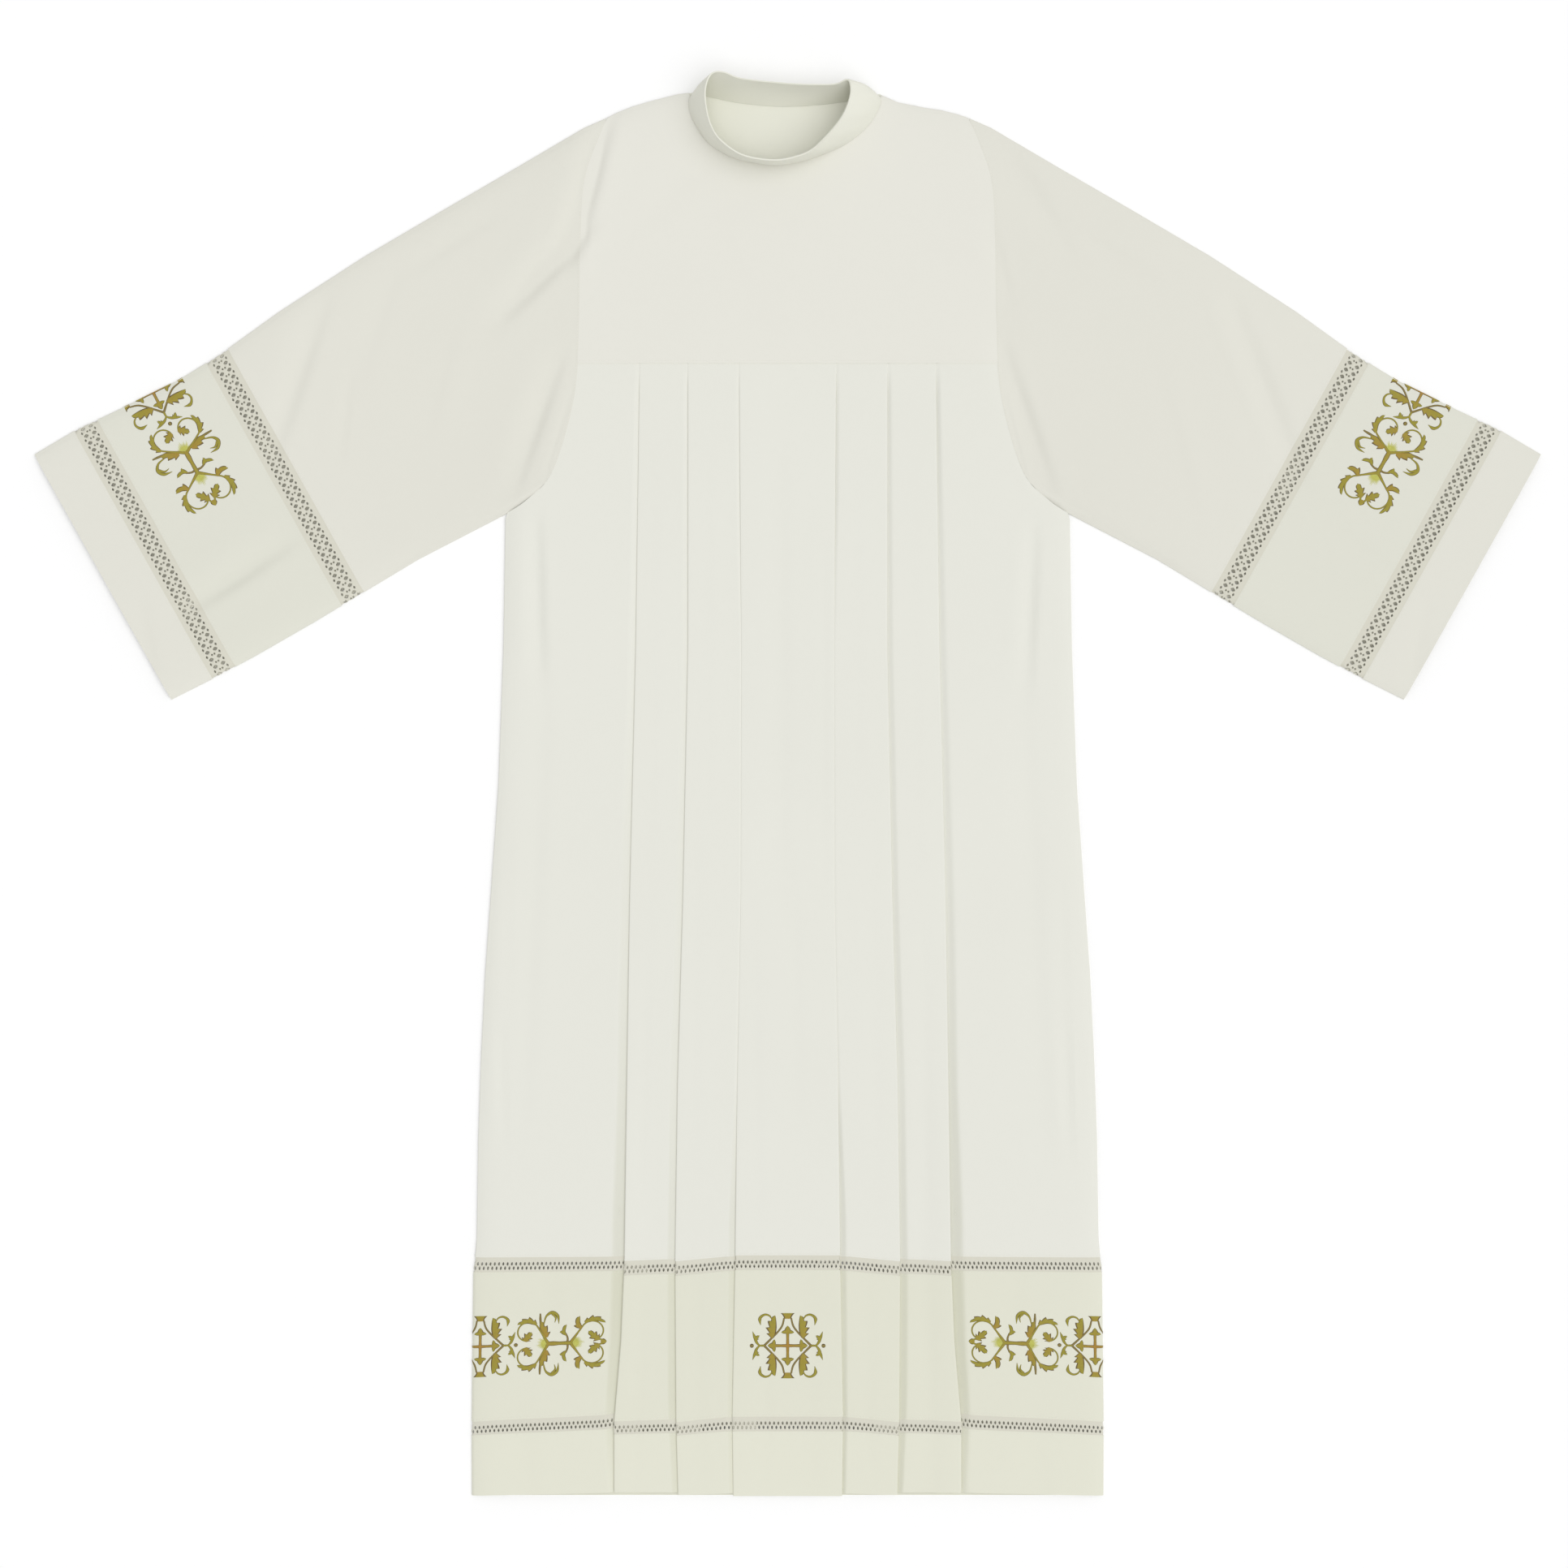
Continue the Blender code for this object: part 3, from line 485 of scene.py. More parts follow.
CREASES = [Crease(*row) for row in (
    (-180, 662, -210, 548, 16, 3.4), (-210, 548, -272, 484, 17, 3.2), (-205.5, 602, -203, 562, 4.5, 0.8),
    (-232, 414, -266, 317, 14, 2), (-217, 399, -243, 319, 3, 0.3), (226, 653, 283, 558, 18, 1.1),
    (211, 564, 229, 496, 9, 0.5), (228, 432, 268, 316, 14, 1.9), (222, 394, 240.5, 323, 3, 0.4),
    (-471, 468, -512, 347, 16, 1.6), (-441, 409, -449, 340, 8, 0.4), (-392, 520, -425, 424, 16, 0.4),
    (-520, 229, -590, 183, 16, 2.6), (-650, 173, -636, 91, 12, 0.5), (-304, 566, -374, 522, 13, 0.6),
    (-336, 452, -356, 376, 14, -0.4), (464, 472, 520, 331, 18, 1.7), (430, 470, 478, 352, 16, -0.7),
    (385, 404, 412, 300, 14, -0.4), (295, 567, 367, 520, 13, 0.7), (562, 258, 626, 214, 16, 0.5),
    (650, 168, 636, 96, 11, 0.4), (-240, 120, -262, -330, 17, 0.5), (-250, 256, -247, 124, 11, 1.7),
    (-279, -60, -281, -300, 9, 0.2), (-288, -254, -284, -356, 7, 0.45), (246, 90, 268, -360, 17, 0.45),
    (254, 246, 248, 116, 10, 1.6), (282, -110, 287, -330, 8, 0.25), (286, -258, 290, -370, 7, 0.6),
    (-92, 610, -150, 560, 22, 0.3), (88, 600, 150, 548, 24, 0.3), (-60, 560, -20, 470, 26, 0.25),
)]


def sleeve_point(along, across):
    """The plan place of a point of the right-hand sleeve, from its cuff's upper corner."""
    x = SLEEVE_CORNER[0] - cos(SLEEVE_DROOP) * along - sin(SLEEVE_DROOP) * across
    y = SLEEVE_CORNER[1] + sin(SLEEVE_DROOP) * along - cos(SLEEVE_DROOP) * across
    return x, y


def outline_runs():
    """The straight runs of the robe's upper and under outline, on both sides."""
    runs = []
    for side, name in ((-1, "left_y"), (1, "right_y")):
        upper = [(row.x, getattr(row, name)) for row in SHOULDER]
        upper += [sleeve_point(row.along, row.top) for row in reversed(SLEEVE_FOLDS[:-1])]
        under = [sleeve_point(row.along, row.under) for row in SLEEVE_FOLDS if row.along < 392]
        under += [(row.half_width, row.y) for row in SIDE_EDGE]
        for line in (upper, under):
            line = [(side * x, y) for x, y in line]
            runs += list(zip(line[:-1], line[1:]))
    return runs


OUTLINE_RUNS = outline_runs()


def front_level(x, y):
    """Middle of the front cloth: low at the robe's outline, loftier inside, with its soft creases."""
    inside = np.full(np.broadcast(x, y).shape, np.inf)
    for start, end in OUTLINE_RUNS:
        inside = np.minimum(inside, distance_to_run(x, y, start, end)[0])
    rise = 1 - np.exp(-inside / LOFT_RUN)
    level = EDGE_LEVEL + LOFT * rise - creased(x, y, CREASES) * rise
    return np.clip(level, EDGE_LEVEL, HIGHEST)


def neck_line():
    """The front's neckline just inside the collar seam, from the left shoulder to the right one."""
    kinds = [p.sewn_to for p in COLLAR]
    first = kinds.index("yoke", kinds.index("back"))
    points = [(p.seam_x, p.seam_y) for p in (COLLAR[first:] + COLLAR)[: kinds.count("yoke")]]
    line = smooth_curve(points, 8)
    ahead = np.gradient(line, axis=0)
    ahead /= np.linalg.norm(ahead, axis=1)[:, None]
    return line + 1.0 * np.stack([-ahead[:, 1], ahead[:, 0]], axis=1)


def yoke_surface():
    """Middle surface of the yoke, in rows that run round the neck from shoulder to shoulder."""
    armhole = even_run(ARMHOLE_SEAM[ARMHOLE_SEAM[:, 1] > YOKE_SEAM], 42)
    corner = half_width(YOKE_SEAM)
    seam = np.stack([np.linspace(-corner, corner, 96), np.full(96, YOKE_SEAM - 1.0)], axis=1)
    edge = np.concatenate([armhole * (-1, 1), seam, armhole[::-1]])
    count = len(edge)
    start = even_run(neck_line(), count)
    grid = []
    fade = 24  # columns from each end over which the rows turn to follow the shoulder
    for share in np.linspace(0, 1, 50) ** 0.9:
        line = (1 - share) * start + share * edge
        for end, name in ((0, "left_y"), (count - 1, "right_y")):
            lift = (read(SHOULDER, "x", abs(line[end, 0]), name) - line[end, 1]) * (share > 0)
            line[:, 1] += lift * np.clip(1 - np.abs(np.arange(count) - end) / fade, 0, 1) ** 1.5
        grid.append(line)
    plan = np.array(grid)
    level = front_level(plan[:, :, 0], plan[:, :, 1])
    middle = np.concatenate([plan, level[:, :, None]], axis=2)
    turns = []
    for side in (0, -1):
        turn = [
            middle[:, side] + (0.0, FOLD_RADIUS * (sin(angle) - 1), FOLD_RADIUS * (cos(angle) - 1))
            for angle in np.linspace(0, pi / 2, 5)[1:]
        ]
        turns.append(np.stack(turn, axis=1))
        middle[:, side, 1] -= FOLD_RADIUS
    return np.concatenate([turns[0][:, ::-1], middle, turns[1]], axis=1)


yoke_cotton = woven_cotton("yoke_cotton", (229, 228, 219))
yoke_middle = yoke_surface()
yoke = cloth_wall("front_yoke_cloth", yoke_middle, yoke_cotton, grain=yoke_middle[:, :, :2])
sew_in(yoke, yoke_middle, "front_yoke")

# Pleated front. One wide cotton piece with three knife pleats on each side of a flat middle panel, pressed
# and sewn flat into the yoke seam. Towards the hem the outer pleats stand up and shade what is under them.
# The strips beside the pleats' folds also carry painted shade: their cloth is coloured darker and yellower.
PLEAT_DEPTH = 25.0
UNDER_LEVEL = 1.9
LAYER_STEP = 1.25
TOP_LEVEL = UNDER_LEVEL + 2 * LAYER_STEP + 0.4
UNDER_END = UNDER_LEVEL + 0.9  # the under layer has come up this far where it leaves the fold
PLEAT_LIFT = {-1: 0.7, 1: 2.2}  # how far the outer pleat stands up at the hem, on each side
LIFT_FROM, LIFT_FULL = -150.0, -450.0
RISE_START = {-1: 4.0, 1: 1.5}  # how far inside a fold the cloth under it begins to rise, on each side
PRESSED = 34.0  # how far below the yoke seam the pleats are pressed down to its level
PRESS_SHARE = 0.8  # how much of the way to that level they are pressed
UNDER_YOKE = 0.4  # how much lower than the yoke they are in the seam
SECOND_LIFT = 0.3  # how much of a pleat's lift its second layer has
TURN_FROM, TURN_FULL = 275.0, 263.0  # heights between which the side edge begins to turn under
DIP = 0.5  # how much lower the middle panel lies at its middle
PANEL_GAIN = 0.45  # how deep the swells of the panels are, as a share of their table
PleatEdge = namedtuple("PleatEdge", "y inner middle outer")
PLEAT_EDGES = [PleatEdge(*row) for row in (
    (429, 49, 101, 150), (138, 47, 101, 154), (-110, 47.5, 106, 160), (-300, 51, 111.5, 163),
    (-477, 53, 114, 165.5), (-560, 54.5, 113.5, 169), (-642, 56, 113, 176), (-722, 55, 111, 176),
)]
# The strip beside each fold: how wide it is until the cloth is up again, and how much painted shade, darker
# and yellower, it carries
FoldStrip = namedtuple("FoldStrip", "y inner middle outer inner_shade middle_shade outer_shade")
FOLD_STRIPS = [FoldStrip(*row) for row in (
    (429, 4, 5, 4.5, 0, 0, 0), (300, 4.5, 6, 5, 0, 0, 0), (150, 2, 7, 7, 0, 0.02, 0),
    (-200, 2, 8, 10, 0, 0.06, 0.08), (-300, 3, 9, 10, 0, 0.06, 0.14), (-440, 8, 9, 14, 0.14, 0.15, 0.22),
    (-550, 7, 9.5, 13, 0.1, 0.16, 0.22), (-610, 6, 9.5, 11, 0.1, 0.18, 0.2),
    (-722, 5, 7, 6, 0.08, 0.14, 0),
)]
# How far each panel's own edges hang below the level of the middle panel
PanelDrop = namedtuple("PanelDrop", "y side_edge side_pleat outer_out outer_in middle_out middle_in")
PANEL_DROPS = [PanelDrop(*row) for row in (
    (100, 0, 0, 0, 0, 0, 0), (-477.5, 2.2, 1, 5.5, 4, 6, 1.2), (-641.2, 5.5, -3, 4.5, 3, 5.5, 0.5),
    (-722, 0, -3.7, -3.7, -3.5, -1, -2.5),
)]
# Long soft swells of the panels between the pleats
PANEL_CREASES = [Crease(*row) for row in (
    (-2, 330, 0, -100, 17, 0.9), (40, 244, 39, -96, 7, 0.3), (10, -90, 14, -330, 12, 0.4),
    (-30, -180, -26, -440, 11, 0.4), (-78, 330, -76, -40, 9, -0.25), (-88, -60, -92, -400, 8, 0.25),
    (74, 300, 76, 20, 10, -0.25), (90, -90, 94, -420, 9, 0.25), (-132, 280, -136, -160, 10, -0.25),
    (130, 320, 136, -100, 9, -0.25), (-140, -190, -146, -420, 8, 0.4), (142, -150, 146, -440, 9, 0.4),
    (-14, -500, -20, -700, 14, 0.5), (26, -520, 30, -712, 12, 0.4), (-88, -510, -84, -700, 11, 0.5),
    (86, -500, 88, -690, 12, 0.5), (-144, -520, -150, -710, 10, 0.4), (146, -510, 152, -700, 10, 0.4),
    (-236, -500, -232, -560, 16, 0.6), (-262, -640, -256, -718, 18, 0.7), (238, -510, 234, -580, 16, 0.6),
    (258, -650, 264, -718, 17, 0.7),
)]


def blend(value, low, high):
    """0 below low and 1 above high, with a soft step between."""
    t = np.clip((value - low) / (high - low), 0, 1)
    return t * t * (3 - 2 * t)


def pressed_fold(edge, first, second, way, steps):
    """Section points round a fold whose cloth has its middle's edge at x, from one layer to the next."""
    radius = abs(first - second) / 2
    angles = np.linspace(0, pi, steps + 1)
    x = edge - way * radius * (1 - np.sin(angles))
    return x, (first + second) / 2 + (first - second) / 2 * np.cos(angles)


def half_section(y, folded_edge, way):
    """The section of one half of the pleated front at a height, from its middle out: x, z, drop and painted
    shade.
    """
    drops = {name: read(PANEL_DROPS, "y", y, name) for name in PanelDrop._fields[1:]}
    lift = PLEAT_LIFT[way] * np.interp(y, (LIFT_FULL, LIFT_FROM), (1.0, 0.0))
    runs = []

    def add_run(x, z, drop_from, drop_to=None, shade=0.0):
        drop_to = drop_from if drop_to is None else drop_to
        runs.append((x, z, np.linspace(drop_from, drop_to, len(x)), shade * np.ones(len(x))))

    start, here = 0.0, 0.0
    for name, count, drop_out, drop_next in (
        ("inner", 17, None, "middle_in"),
        ("middle", 14, "middle_out", "outer_in"),
        ("outer", 14, "outer_out", "side_pleat"),
    ):
        edge = float(read(PLEAT_EDGES, "y", y, name))
        there = drops[drop_out] if drop_out else 0.0
        beyond = drops[drop_next]
        raised = lift if name == "outer" else 0.0
        # The strip beside this fold gets its painted shade, a darker and yellower colour in place of the
        # shade there.
        strip, painted_shade = (float(read(FOLD_STRIPS, "y", y, column)) for column in (name, name + "_shade"))
        top, second = TOP_LEVEL + raised, TOP_LEVEL - LAYER_STEP + SECOND_LIFT * raised
        x = np.linspace(start, edge - (top - second) / 2, count)
        share = (x - start) / (edge - start)
        dip = DIP if name == "inner" else 0.0
        z = TOP_LEVEL - dip + dip * blend(x, 0, edge) + raised * blend(share, 0.25, 1.0)
        add_run(x, z, here, there)
        add_run(*pressed_fold(edge, top, second, 1, 6), there)
        x = np.linspace(edge - LAYER_STEP / 2 - 1.5, edge - PLEAT_DEPTH + LAYER_STEP / 2 + 1.0, 5)
        add_run(x, np.linspace(second, TOP_LEVEL - LAYER_STEP, 5), there, beyond)
        add_run(*pressed_fold(edge - PLEAT_DEPTH, TOP_LEVEL - LAYER_STEP, UNDER_LEVEL, -1, 5), beyond)
        x = np.linspace(edge - PLEAT_DEPTH + 3.0, edge - 1.0, 6)
        add_run(x, np.linspace(UNDER_LEVEL, UNDER_END, 6), beyond, shade=painted_shade)
        if name != "outer":
            x = np.linspace(edge, edge + strip, 8)
            climb = blend(x, edge - max(RISE_START[way], 6.5 - strip) + 0.25 * strip, edge + strip)
            shade = painted_shade * (1 - blend(x, edge + 0.7 * strip, edge + strip))
            add_run(x, UNDER_END + climb * (TOP_LEVEL - UNDER_END), beyond, shade=shade)
        start, here = edge + strip + 2.0, beyond
    width = float(half_width(y)) - CLOTH / 2
    ends = ((0, 0.12, 9), (0.12, 0.86, 27), (0.86, 1, 10))
    steps = np.concatenate([[0.0]] + [np.linspace(*part)[1:] for part in ends])
    x = edge + steps * (width - FOLD_RADIUS - edge)
    level = front_level(way * x, y - steps * drops["side_edge"])
    climb = blend(x, edge - RISE_START[way] + 0.25 * strip, edge + strip + 1.0)
    z = UNDER_END + (level - UNDER_END) * climb
    # The side panel's strip beside the outer fold is painted darker and yellower as well: painted shade.
    shade = painted_shade * (1 - blend(x, edge + 0.7 * strip, edge + strip + 1.0))
    add_run(x, z, drops["side_pleat"], drops["side_edge"], shade)
    if folded_edge:
        angles = np.linspace(0, pi, 9)[1:]
        under = BACK_LEVEL + float(back_raised(y - drops["side_edge"]))
        x = width - FOLD_RADIUS + FOLD_RADIUS * np.sin(angles)
        z = (EDGE_LEVEL + under) / 2 + (EDGE_LEVEL - under) / 2 * np.cos(angles)
    else:
        bent = float(blend(-y, -TURN_FROM, -TURN_FULL))
        angles = np.linspace(0, pi / 2, 6)[1:]
        flat = np.linspace(0, 1, 6)[1:] * (FOLD_RADIUS + CLOTH / 2)
        x = width - FOLD_RADIUS + bent * FOLD_RADIUS * np.sin(angles) + (1 - bent) * flat
        z = z[-1] - bent * FOLD_RADIUS * (1 - np.cos(angles))
    add_run(x, z, drops["side_edge"])
    x, z, drop, shade = (np.concatenate(part) for part in zip(*runs))
    pressed = blend(y, YOKE_SEAM - PRESSED, YOKE_SEAM)
    if pressed > 0:
        z = z + PRESS_SHARE * pressed * (front_level(way * x, y) - z) - UNDER_YOKE * pressed**4
    return x, z, drop, shade


def front_rows(heights, folded_edge=False):
    """Whole sections of the pleated front at some heights, as rows of x, y, z and painted fold shade."""
    rows = []
    for y in heights:
        left, right = (np.array(half_section(y, folded_edge, way)) for way in (-1, 1))
        left[0] *= -1
        x, z, drop, shade = np.concatenate([left[:, :0:-1], right], axis=1)
        z = z - PANEL_GAIN * creased(x, y - drop, PANEL_CREASES) * np.clip(z - 3.4, 0, 1)
        rows.append(np.stack([x, y - drop, z, shade], axis=1))
    return np.array(rows)


def pleated_grain(middle, column, closed=False):
    """The grain of a pleated piece: its length across from one column, and its place along the robe."""
    across = length_across(middle, closed)
    across = across - across[:, column : column + 1]
    along = np.repeat(middle[:, column : column + 1, 1], across.shape[1], axis=1)
    return np.stack([across, along], axis=2)


# The front's cloth takes the painted shade of the strips beside its folds.
front_cotton = woven_cotton("front_cotton", (229, 229, 220), folds=True)
front_heights = np.concatenate([
    np.linspace(YOKE_SEAM, YOKE_SEAM - PRESSED, 7)[:-1],
    np.linspace(YOKE_SEAM - PRESSED, 336.0, 8)[:-1],
    np.linspace(336.0, 262.0, 27)[:-1],
    np.linspace(262.0, HEM_LACE_TOP, 72),
])
front_sections = front_rows(front_heights)
front_middle = front_sections[:, :, :3]
front_grain = pleated_grain(front_middle, front_middle.shape[1] // 2)
front_shade = front_sections[:, :, 3]
front = cloth_wall("pleated_front", front_middle, front_cotton, grain=front_grain, shade=front_shade)
sew_in(front, front_middle, "front")

# Stand collar. A doubled cotton band sewn round the neck, low at the front and leaning in all round, with
# a turned upper edge and one row of stitching under it.
COLLAR_WALL = 1.5
COLLAR_SWELL = 2.0
COLLAR_STEPS = 7
COLLAR_HEIGHT = 36.0
CORNER_X, CORNER_Y = 86.0, 700.0  # the collar swells out more at its right-hand back corner
CORNER_REACH, CORNER_SWELL = 15.0, 5.0


def collar_surface():
    """Middle surface of the collar, from its seam up to its rim."""
    seam, rim = [], []
    for point in COLLAR:
        level = CLOTH if point.sewn_to == "back" else front_level(point.seam_x, point.seam_y) + CLOTH / 2
        seam.append((point.seam_x, point.seam_y, float(level) + 0.2))
        rim.append((point.rim_x, point.rim_y, point.rim_z - 0.2))
    seam, rim = smooth_curve(seam, COLLAR_STEPS, True), smooth_curve(rim, COLLAR_STEPS, True)
    around = np.linspace(0, 2 * pi, len(seam), endpoint=False)
    outward = (seam + rim) / 2 - (seam.mean(0) + rim.mean(0)) / 2
    outward[:, 2] = 0
    outward /= np.linalg.norm(outward, axis=1)[:, None]
    grid = []
    for share in np.linspace(0, 1, 17):
        swell = COLLAR_SWELL * sin(pi * share) + 0.35 * np.sin(7 * around + 2.0) * sin(pi * share)
        swell += 0.25 * np.sin(16 * around + 4 * share) * share * (1 - share) * 4
        corner = np.hypot(seam[:, 0] - CORNER_X, seam[:, 1] - CORNER_Y) / CORNER_REACH
        swell += CORNER_SWELL * np.exp(-(corner**2)) * sin(pi * share)
        grid.append(seam + share * (rim - seam) + outward * swell[:, None])
    return np.array(grid)


def collar_grain(middle):
    """The collar's grain: round it along its seam, and up it."""
    across = length_across(middle, True)
    up = np.linspace(0, COLLAR_HEIGHT, len(middle))[:, None] * np.ones(across.shape[1])
    return np.stack([across, up], axis=2)


collar_cotton = woven_cotton("collar_cotton", (230, 230, 218), rumple=0.0002)
collar_middle = collar_surface()
collar_lay = collar_grain(collar_middle)
collar = cloth_wall("stand_collar", collar_middle, collar_cotton, True, COLLAR_WALL, collar_lay)
sew_in(collar, collar_middle, "collar", closed=True)

# Hem. The embroidered band and the plain turned border under it are rings of cotton all round the robe. They
# carry on the pleats of the front, and lie flat on the surface behind.
HEM_LACE = 14.8
LOW_LACE_TOP = -641.2
BACK_COLUMNS = 70  # points across the back part of a hem ring


def hem_rows(top, bottom, steps):
    """Rings of middle points and painted fold shade from one height to another: pleated in front, flat
    behind.
    """
    heights = np.linspace(top, bottom, steps + 1)
    front_part = front_rows(heights, True)
    rows = []
    for y, row in zip(heights, front_part):
        last = row[-1]
        x = np.linspace(last[0] - 2.0, -last[0] + 2.0, BACK_COLUMNS)
        lift = np.clip(-creased(x, last[1], UNDER_CREASES), 0, 0.6)
        level = BACK_LEVEL + lift + back_raised(last[1])
        back_part = np.stack([x, np.full(len(x), last[1]), level, np.zeros(len(x))], axis=1)
        rows.append(np.concatenate([row, back_part]))
    rings = np.array(rows)
    return rings[:, :, :3], rings[:, :, 3]


def make_ring(node, top, bottom, steps, colour):
    """One cotton ring of the hem; returns its middle surface."""
    middle, shade = hem_rows(top, bottom, steps)
    grain = pleated_grain(middle, (middle.shape[1] - BACK_COLUMNS) // 2, True)
    # The front of each ring is painted darker and yellower beside the pleats' folds: painted shade.
    cotton = woven_cotton(node + "_cotton", colour, folds=True)
    ring = cloth_wall(node + "_cloth", middle, cotton, True, grain=grain, shade=shade)
    sew_in(ring, middle, node, closed=True)
    return middle


hem_band_middle = make_ring(
    "hem_band", HEM_LACE_TOP - HEM_LACE, LOW_LACE_TOP, 26, (224, 224, 208)
)
hem_border_middle = make_ring(
    "hem_border", LOW_LACE_TOP - HEM_LACE, HEM, 14, (226, 226, 210)
)

# Sleeves. Each is a wide straight tube of cotton folded flat, set into the armhole: the sleeve itself, a
# band that carries embroidery between two laces, and a plain cuff with a turned end.
CUFF_WIDTH = 47.0
SLEEVE_LACE = 26.2
BAND_WIDTH = 124.6
SLEEVE_INSET = CLOTH / 2 + FOLD_RADIUS
SLEEVE_LENGTH = 400.0  # from its band to the armhole, about
SLEEVE_MARKS = np.cumsum((0.0, CUFF_WIDTH, SLEEVE_LACE, BAND_WIDTH, SLEEVE_LACE))


def sleeve_share(x, y):
    """How far across the sleeve a plan point lies, from 0 at its top fold to 1 at its under fold."""
    dx, dy = x - SLEEVE_CORNER[0], y - SLEEVE_CORNER[1]
    along = -cos(SLEEVE_DROOP) * dx + sin(SLEEVE_DROOP) * dy
    across = -sin(SLEEVE_DROOP) * dx - cos(SLEEVE_DROOP) * dy
    top, under = (read(SLEEVE_FOLDS, "along", along, name) for name in ("top", "under"))
    return (across - top - SLEEVE_INSET) / (under - top - 2 * SLEEVE_INSET), along


ARMHOLE_SHARES, ARMHOLE_LENGTHS = sleeve_share(ARMHOLE_SEAM[:, 0], ARMHOLE_SEAM[:, 1])


def sleeve_rows(side, start, end, steps, to_armhole=False):
    """Rings of middle points round the flattened sleeve, in the robe's lay, from one length to another."""
    shares = np.concatenate([[0.0], np.linspace(0.0, 1.0, 86)[1:-1], [1.0]])
    back_shares = np.linspace(1.0, 0.0, 62)[1:-1]
    angles = np.linspace(0, pi, 9)[1:-1]
    rows = []
    for t in np.linspace(0, 1, steps + 1):
        def length_at(share):
            last = np.interp(share, ARMHOLE_SHARES, ARMHOLE_LENGTHS) if to_armhole else end
            return start + t * (last - start)

        def placed(share, z=None):
            along = length_at(share)
            top, under = (read(SLEEVE_FOLDS, "along", along, name) for name in ("top", "under"))
            across = top + SLEEVE_INSET + share * (under - top - 2 * SLEEVE_INSET)
            x, y = sleeve_point(along, across)
            level = front_level(side * x, y) if z is None else z
            return np.stack(np.broadcast_arrays(side * x, y, level), axis=-1)

        here = start + t * (end - start if end else SLEEVE_LENGTH)
        marks = (6.0, CUFF_WIDTH, SLEEVE_MARKS[4], SLEEVE_MARKS[4] + 60.0)
        raised = np.interp(here, marks, (0.0, 1.0, 1.0, 0.0))
        under_level = BACK_LEVEL + BACK_RAISE * raised
        middle_level, fold_height = (EDGE_LEVEL + under_level) / 2, (EDGE_LEVEL - under_level) / 2
        front_part = placed(shares)
        front_part[[0, -1], 2] = EDGE_LEVEL
        under_fold, top_fold = placed(np.ones(len(angles))), placed(np.zeros(len(angles)))
        for fold, swing, towards in ((under_fold, angles, 1.0), (top_fold, pi - angles, -1.0)):
            out = towards * FOLD_RADIUS * np.sin(swing)
            fold[:, 0] -= side * sin(SLEEVE_DROOP) * out
            fold[:, 1] -= cos(SLEEVE_DROOP) * out
            fold[:, 2] = middle_level + fold_height * np.cos(swing)
        back_part = placed(back_shares, under_level)
        under = np.clip(-creased(back_part[:, 0], back_part[:, 1], UNDER_CREASES), 0, 1.6)
        back_part[:, 2] += under * np.clip(np.minimum(back_shares, 1 - back_shares) * 12, 0, 1)
        rows.append(np.concatenate([front_part, under_fold, back_part, top_fold]))
    return np.array(rows)


def sleeve_grain(middle, start):
    """The grain of a sleeve's tube: round it from the top fold, and along it from the cuff."""
    across = length_across(middle, True)
    down = np.linalg.norm(np.diff(middle, axis=0), axis=2)
    down = np.concatenate([np.zeros((1, down.shape[1])), np.cumsum(down, axis=0)]) + start
    return np.stack([across, np.concatenate([down, down[:, :1]], axis=1)], axis=2)


sleeve_cotton = woven_cotton("sleeve_cotton", (225, 224, 214))
sleeve_band_cotton = woven_cotton("sleeve_band_cotton", (222, 222, 210))
sleeve_walls = {}
for side, word in ((-1, "left"), (1, "right")):
    for part, first, last, steps in (("cuff", 0, 1, 12), ("band", 2, 3, 30), ("", 4, None, 96)):
        node = "_".join(filter(None, ("sleeve", word, part)))
        start = SLEEVE_MARKS[first]
        end = 0.0 if last is None else SLEEVE_MARKS[last]
        middle = sleeve_rows(side, start, end, steps, last is None)
        cotton = sleeve_band_cotton if part == "band" else sleeve_cotton
        piece = cloth_wall(node + "_cloth", middle, cotton, True, grain=sleeve_grain(middle, start))
        sew_in(piece, middle, node, closed=True)
        sleeve_walls[node] = middle

# Insertion laces. Six narrow ecru laces of twisted cotton, two round each sleeve and two round the hem, each
# a lattice of small holes between two close-worked tapes, sewn edge to edge between the cloth pieces.
LACE_LEVEL = 0.24  # half the thickness of a lace's tape
HEM_REPEAT = 4.35
SLEEVE_REPEAT = 8.1
Hole = namedtuple("Hole", "along across half_length half_width roundness")
Knot = namedtuple("Knot", "along across raised")
HEM_LACE_HOLES = [Hole(*row) for row in (
    (0.25, 6.6, 1.06, 1.9, 1.5), (0.75, 10.9, 1.06, 1.9, 1.5),
)]
HEM_LACE_KNOTS = [Knot(*row) for row in (
    (0.5, 8.75, 0.5), (0, 8.75, 0.5), (0.75, 6.6, 0.4), (0.25, 10.9, 0.4),
)]
SLEEVE_LACE_HOLES = [Hole(*row) for row in (
    (0.25, 8.6, 1.98, 2.6, 1.35), (0.25, 17.4, 1.98, 2.6, 1.35), (0.75, 11.6, 1.15, 1.1, 1.5),
    (0.75, 14.4, 1.15, 1.1, 1.5), (0.75, 5.8, 1.7, 1.2, 1.2), (0.75, 20.2, 1.7, 1.2, 1.2),
)]
SLEEVE_LACE_KNOTS = [Knot(*row) for row in (
    (0, 10.2, 0.5), (0.5, 10.2, 0.5), (0, 15.8, 0.5), (0.5, 15.8, 0.5), (0.25, 13, 0.55),
    (0.75, 8.7, 0.4), (0.75, 17.3, 0.4), (0.25, 4.7, 0.2), (0.25, 21.3, 0.2), (0.5, 6.9, 0.3),
    (0, 6.9, 0.3), (0.5, 19.1, 0.3), (0, 19.1, 0.3),
)]


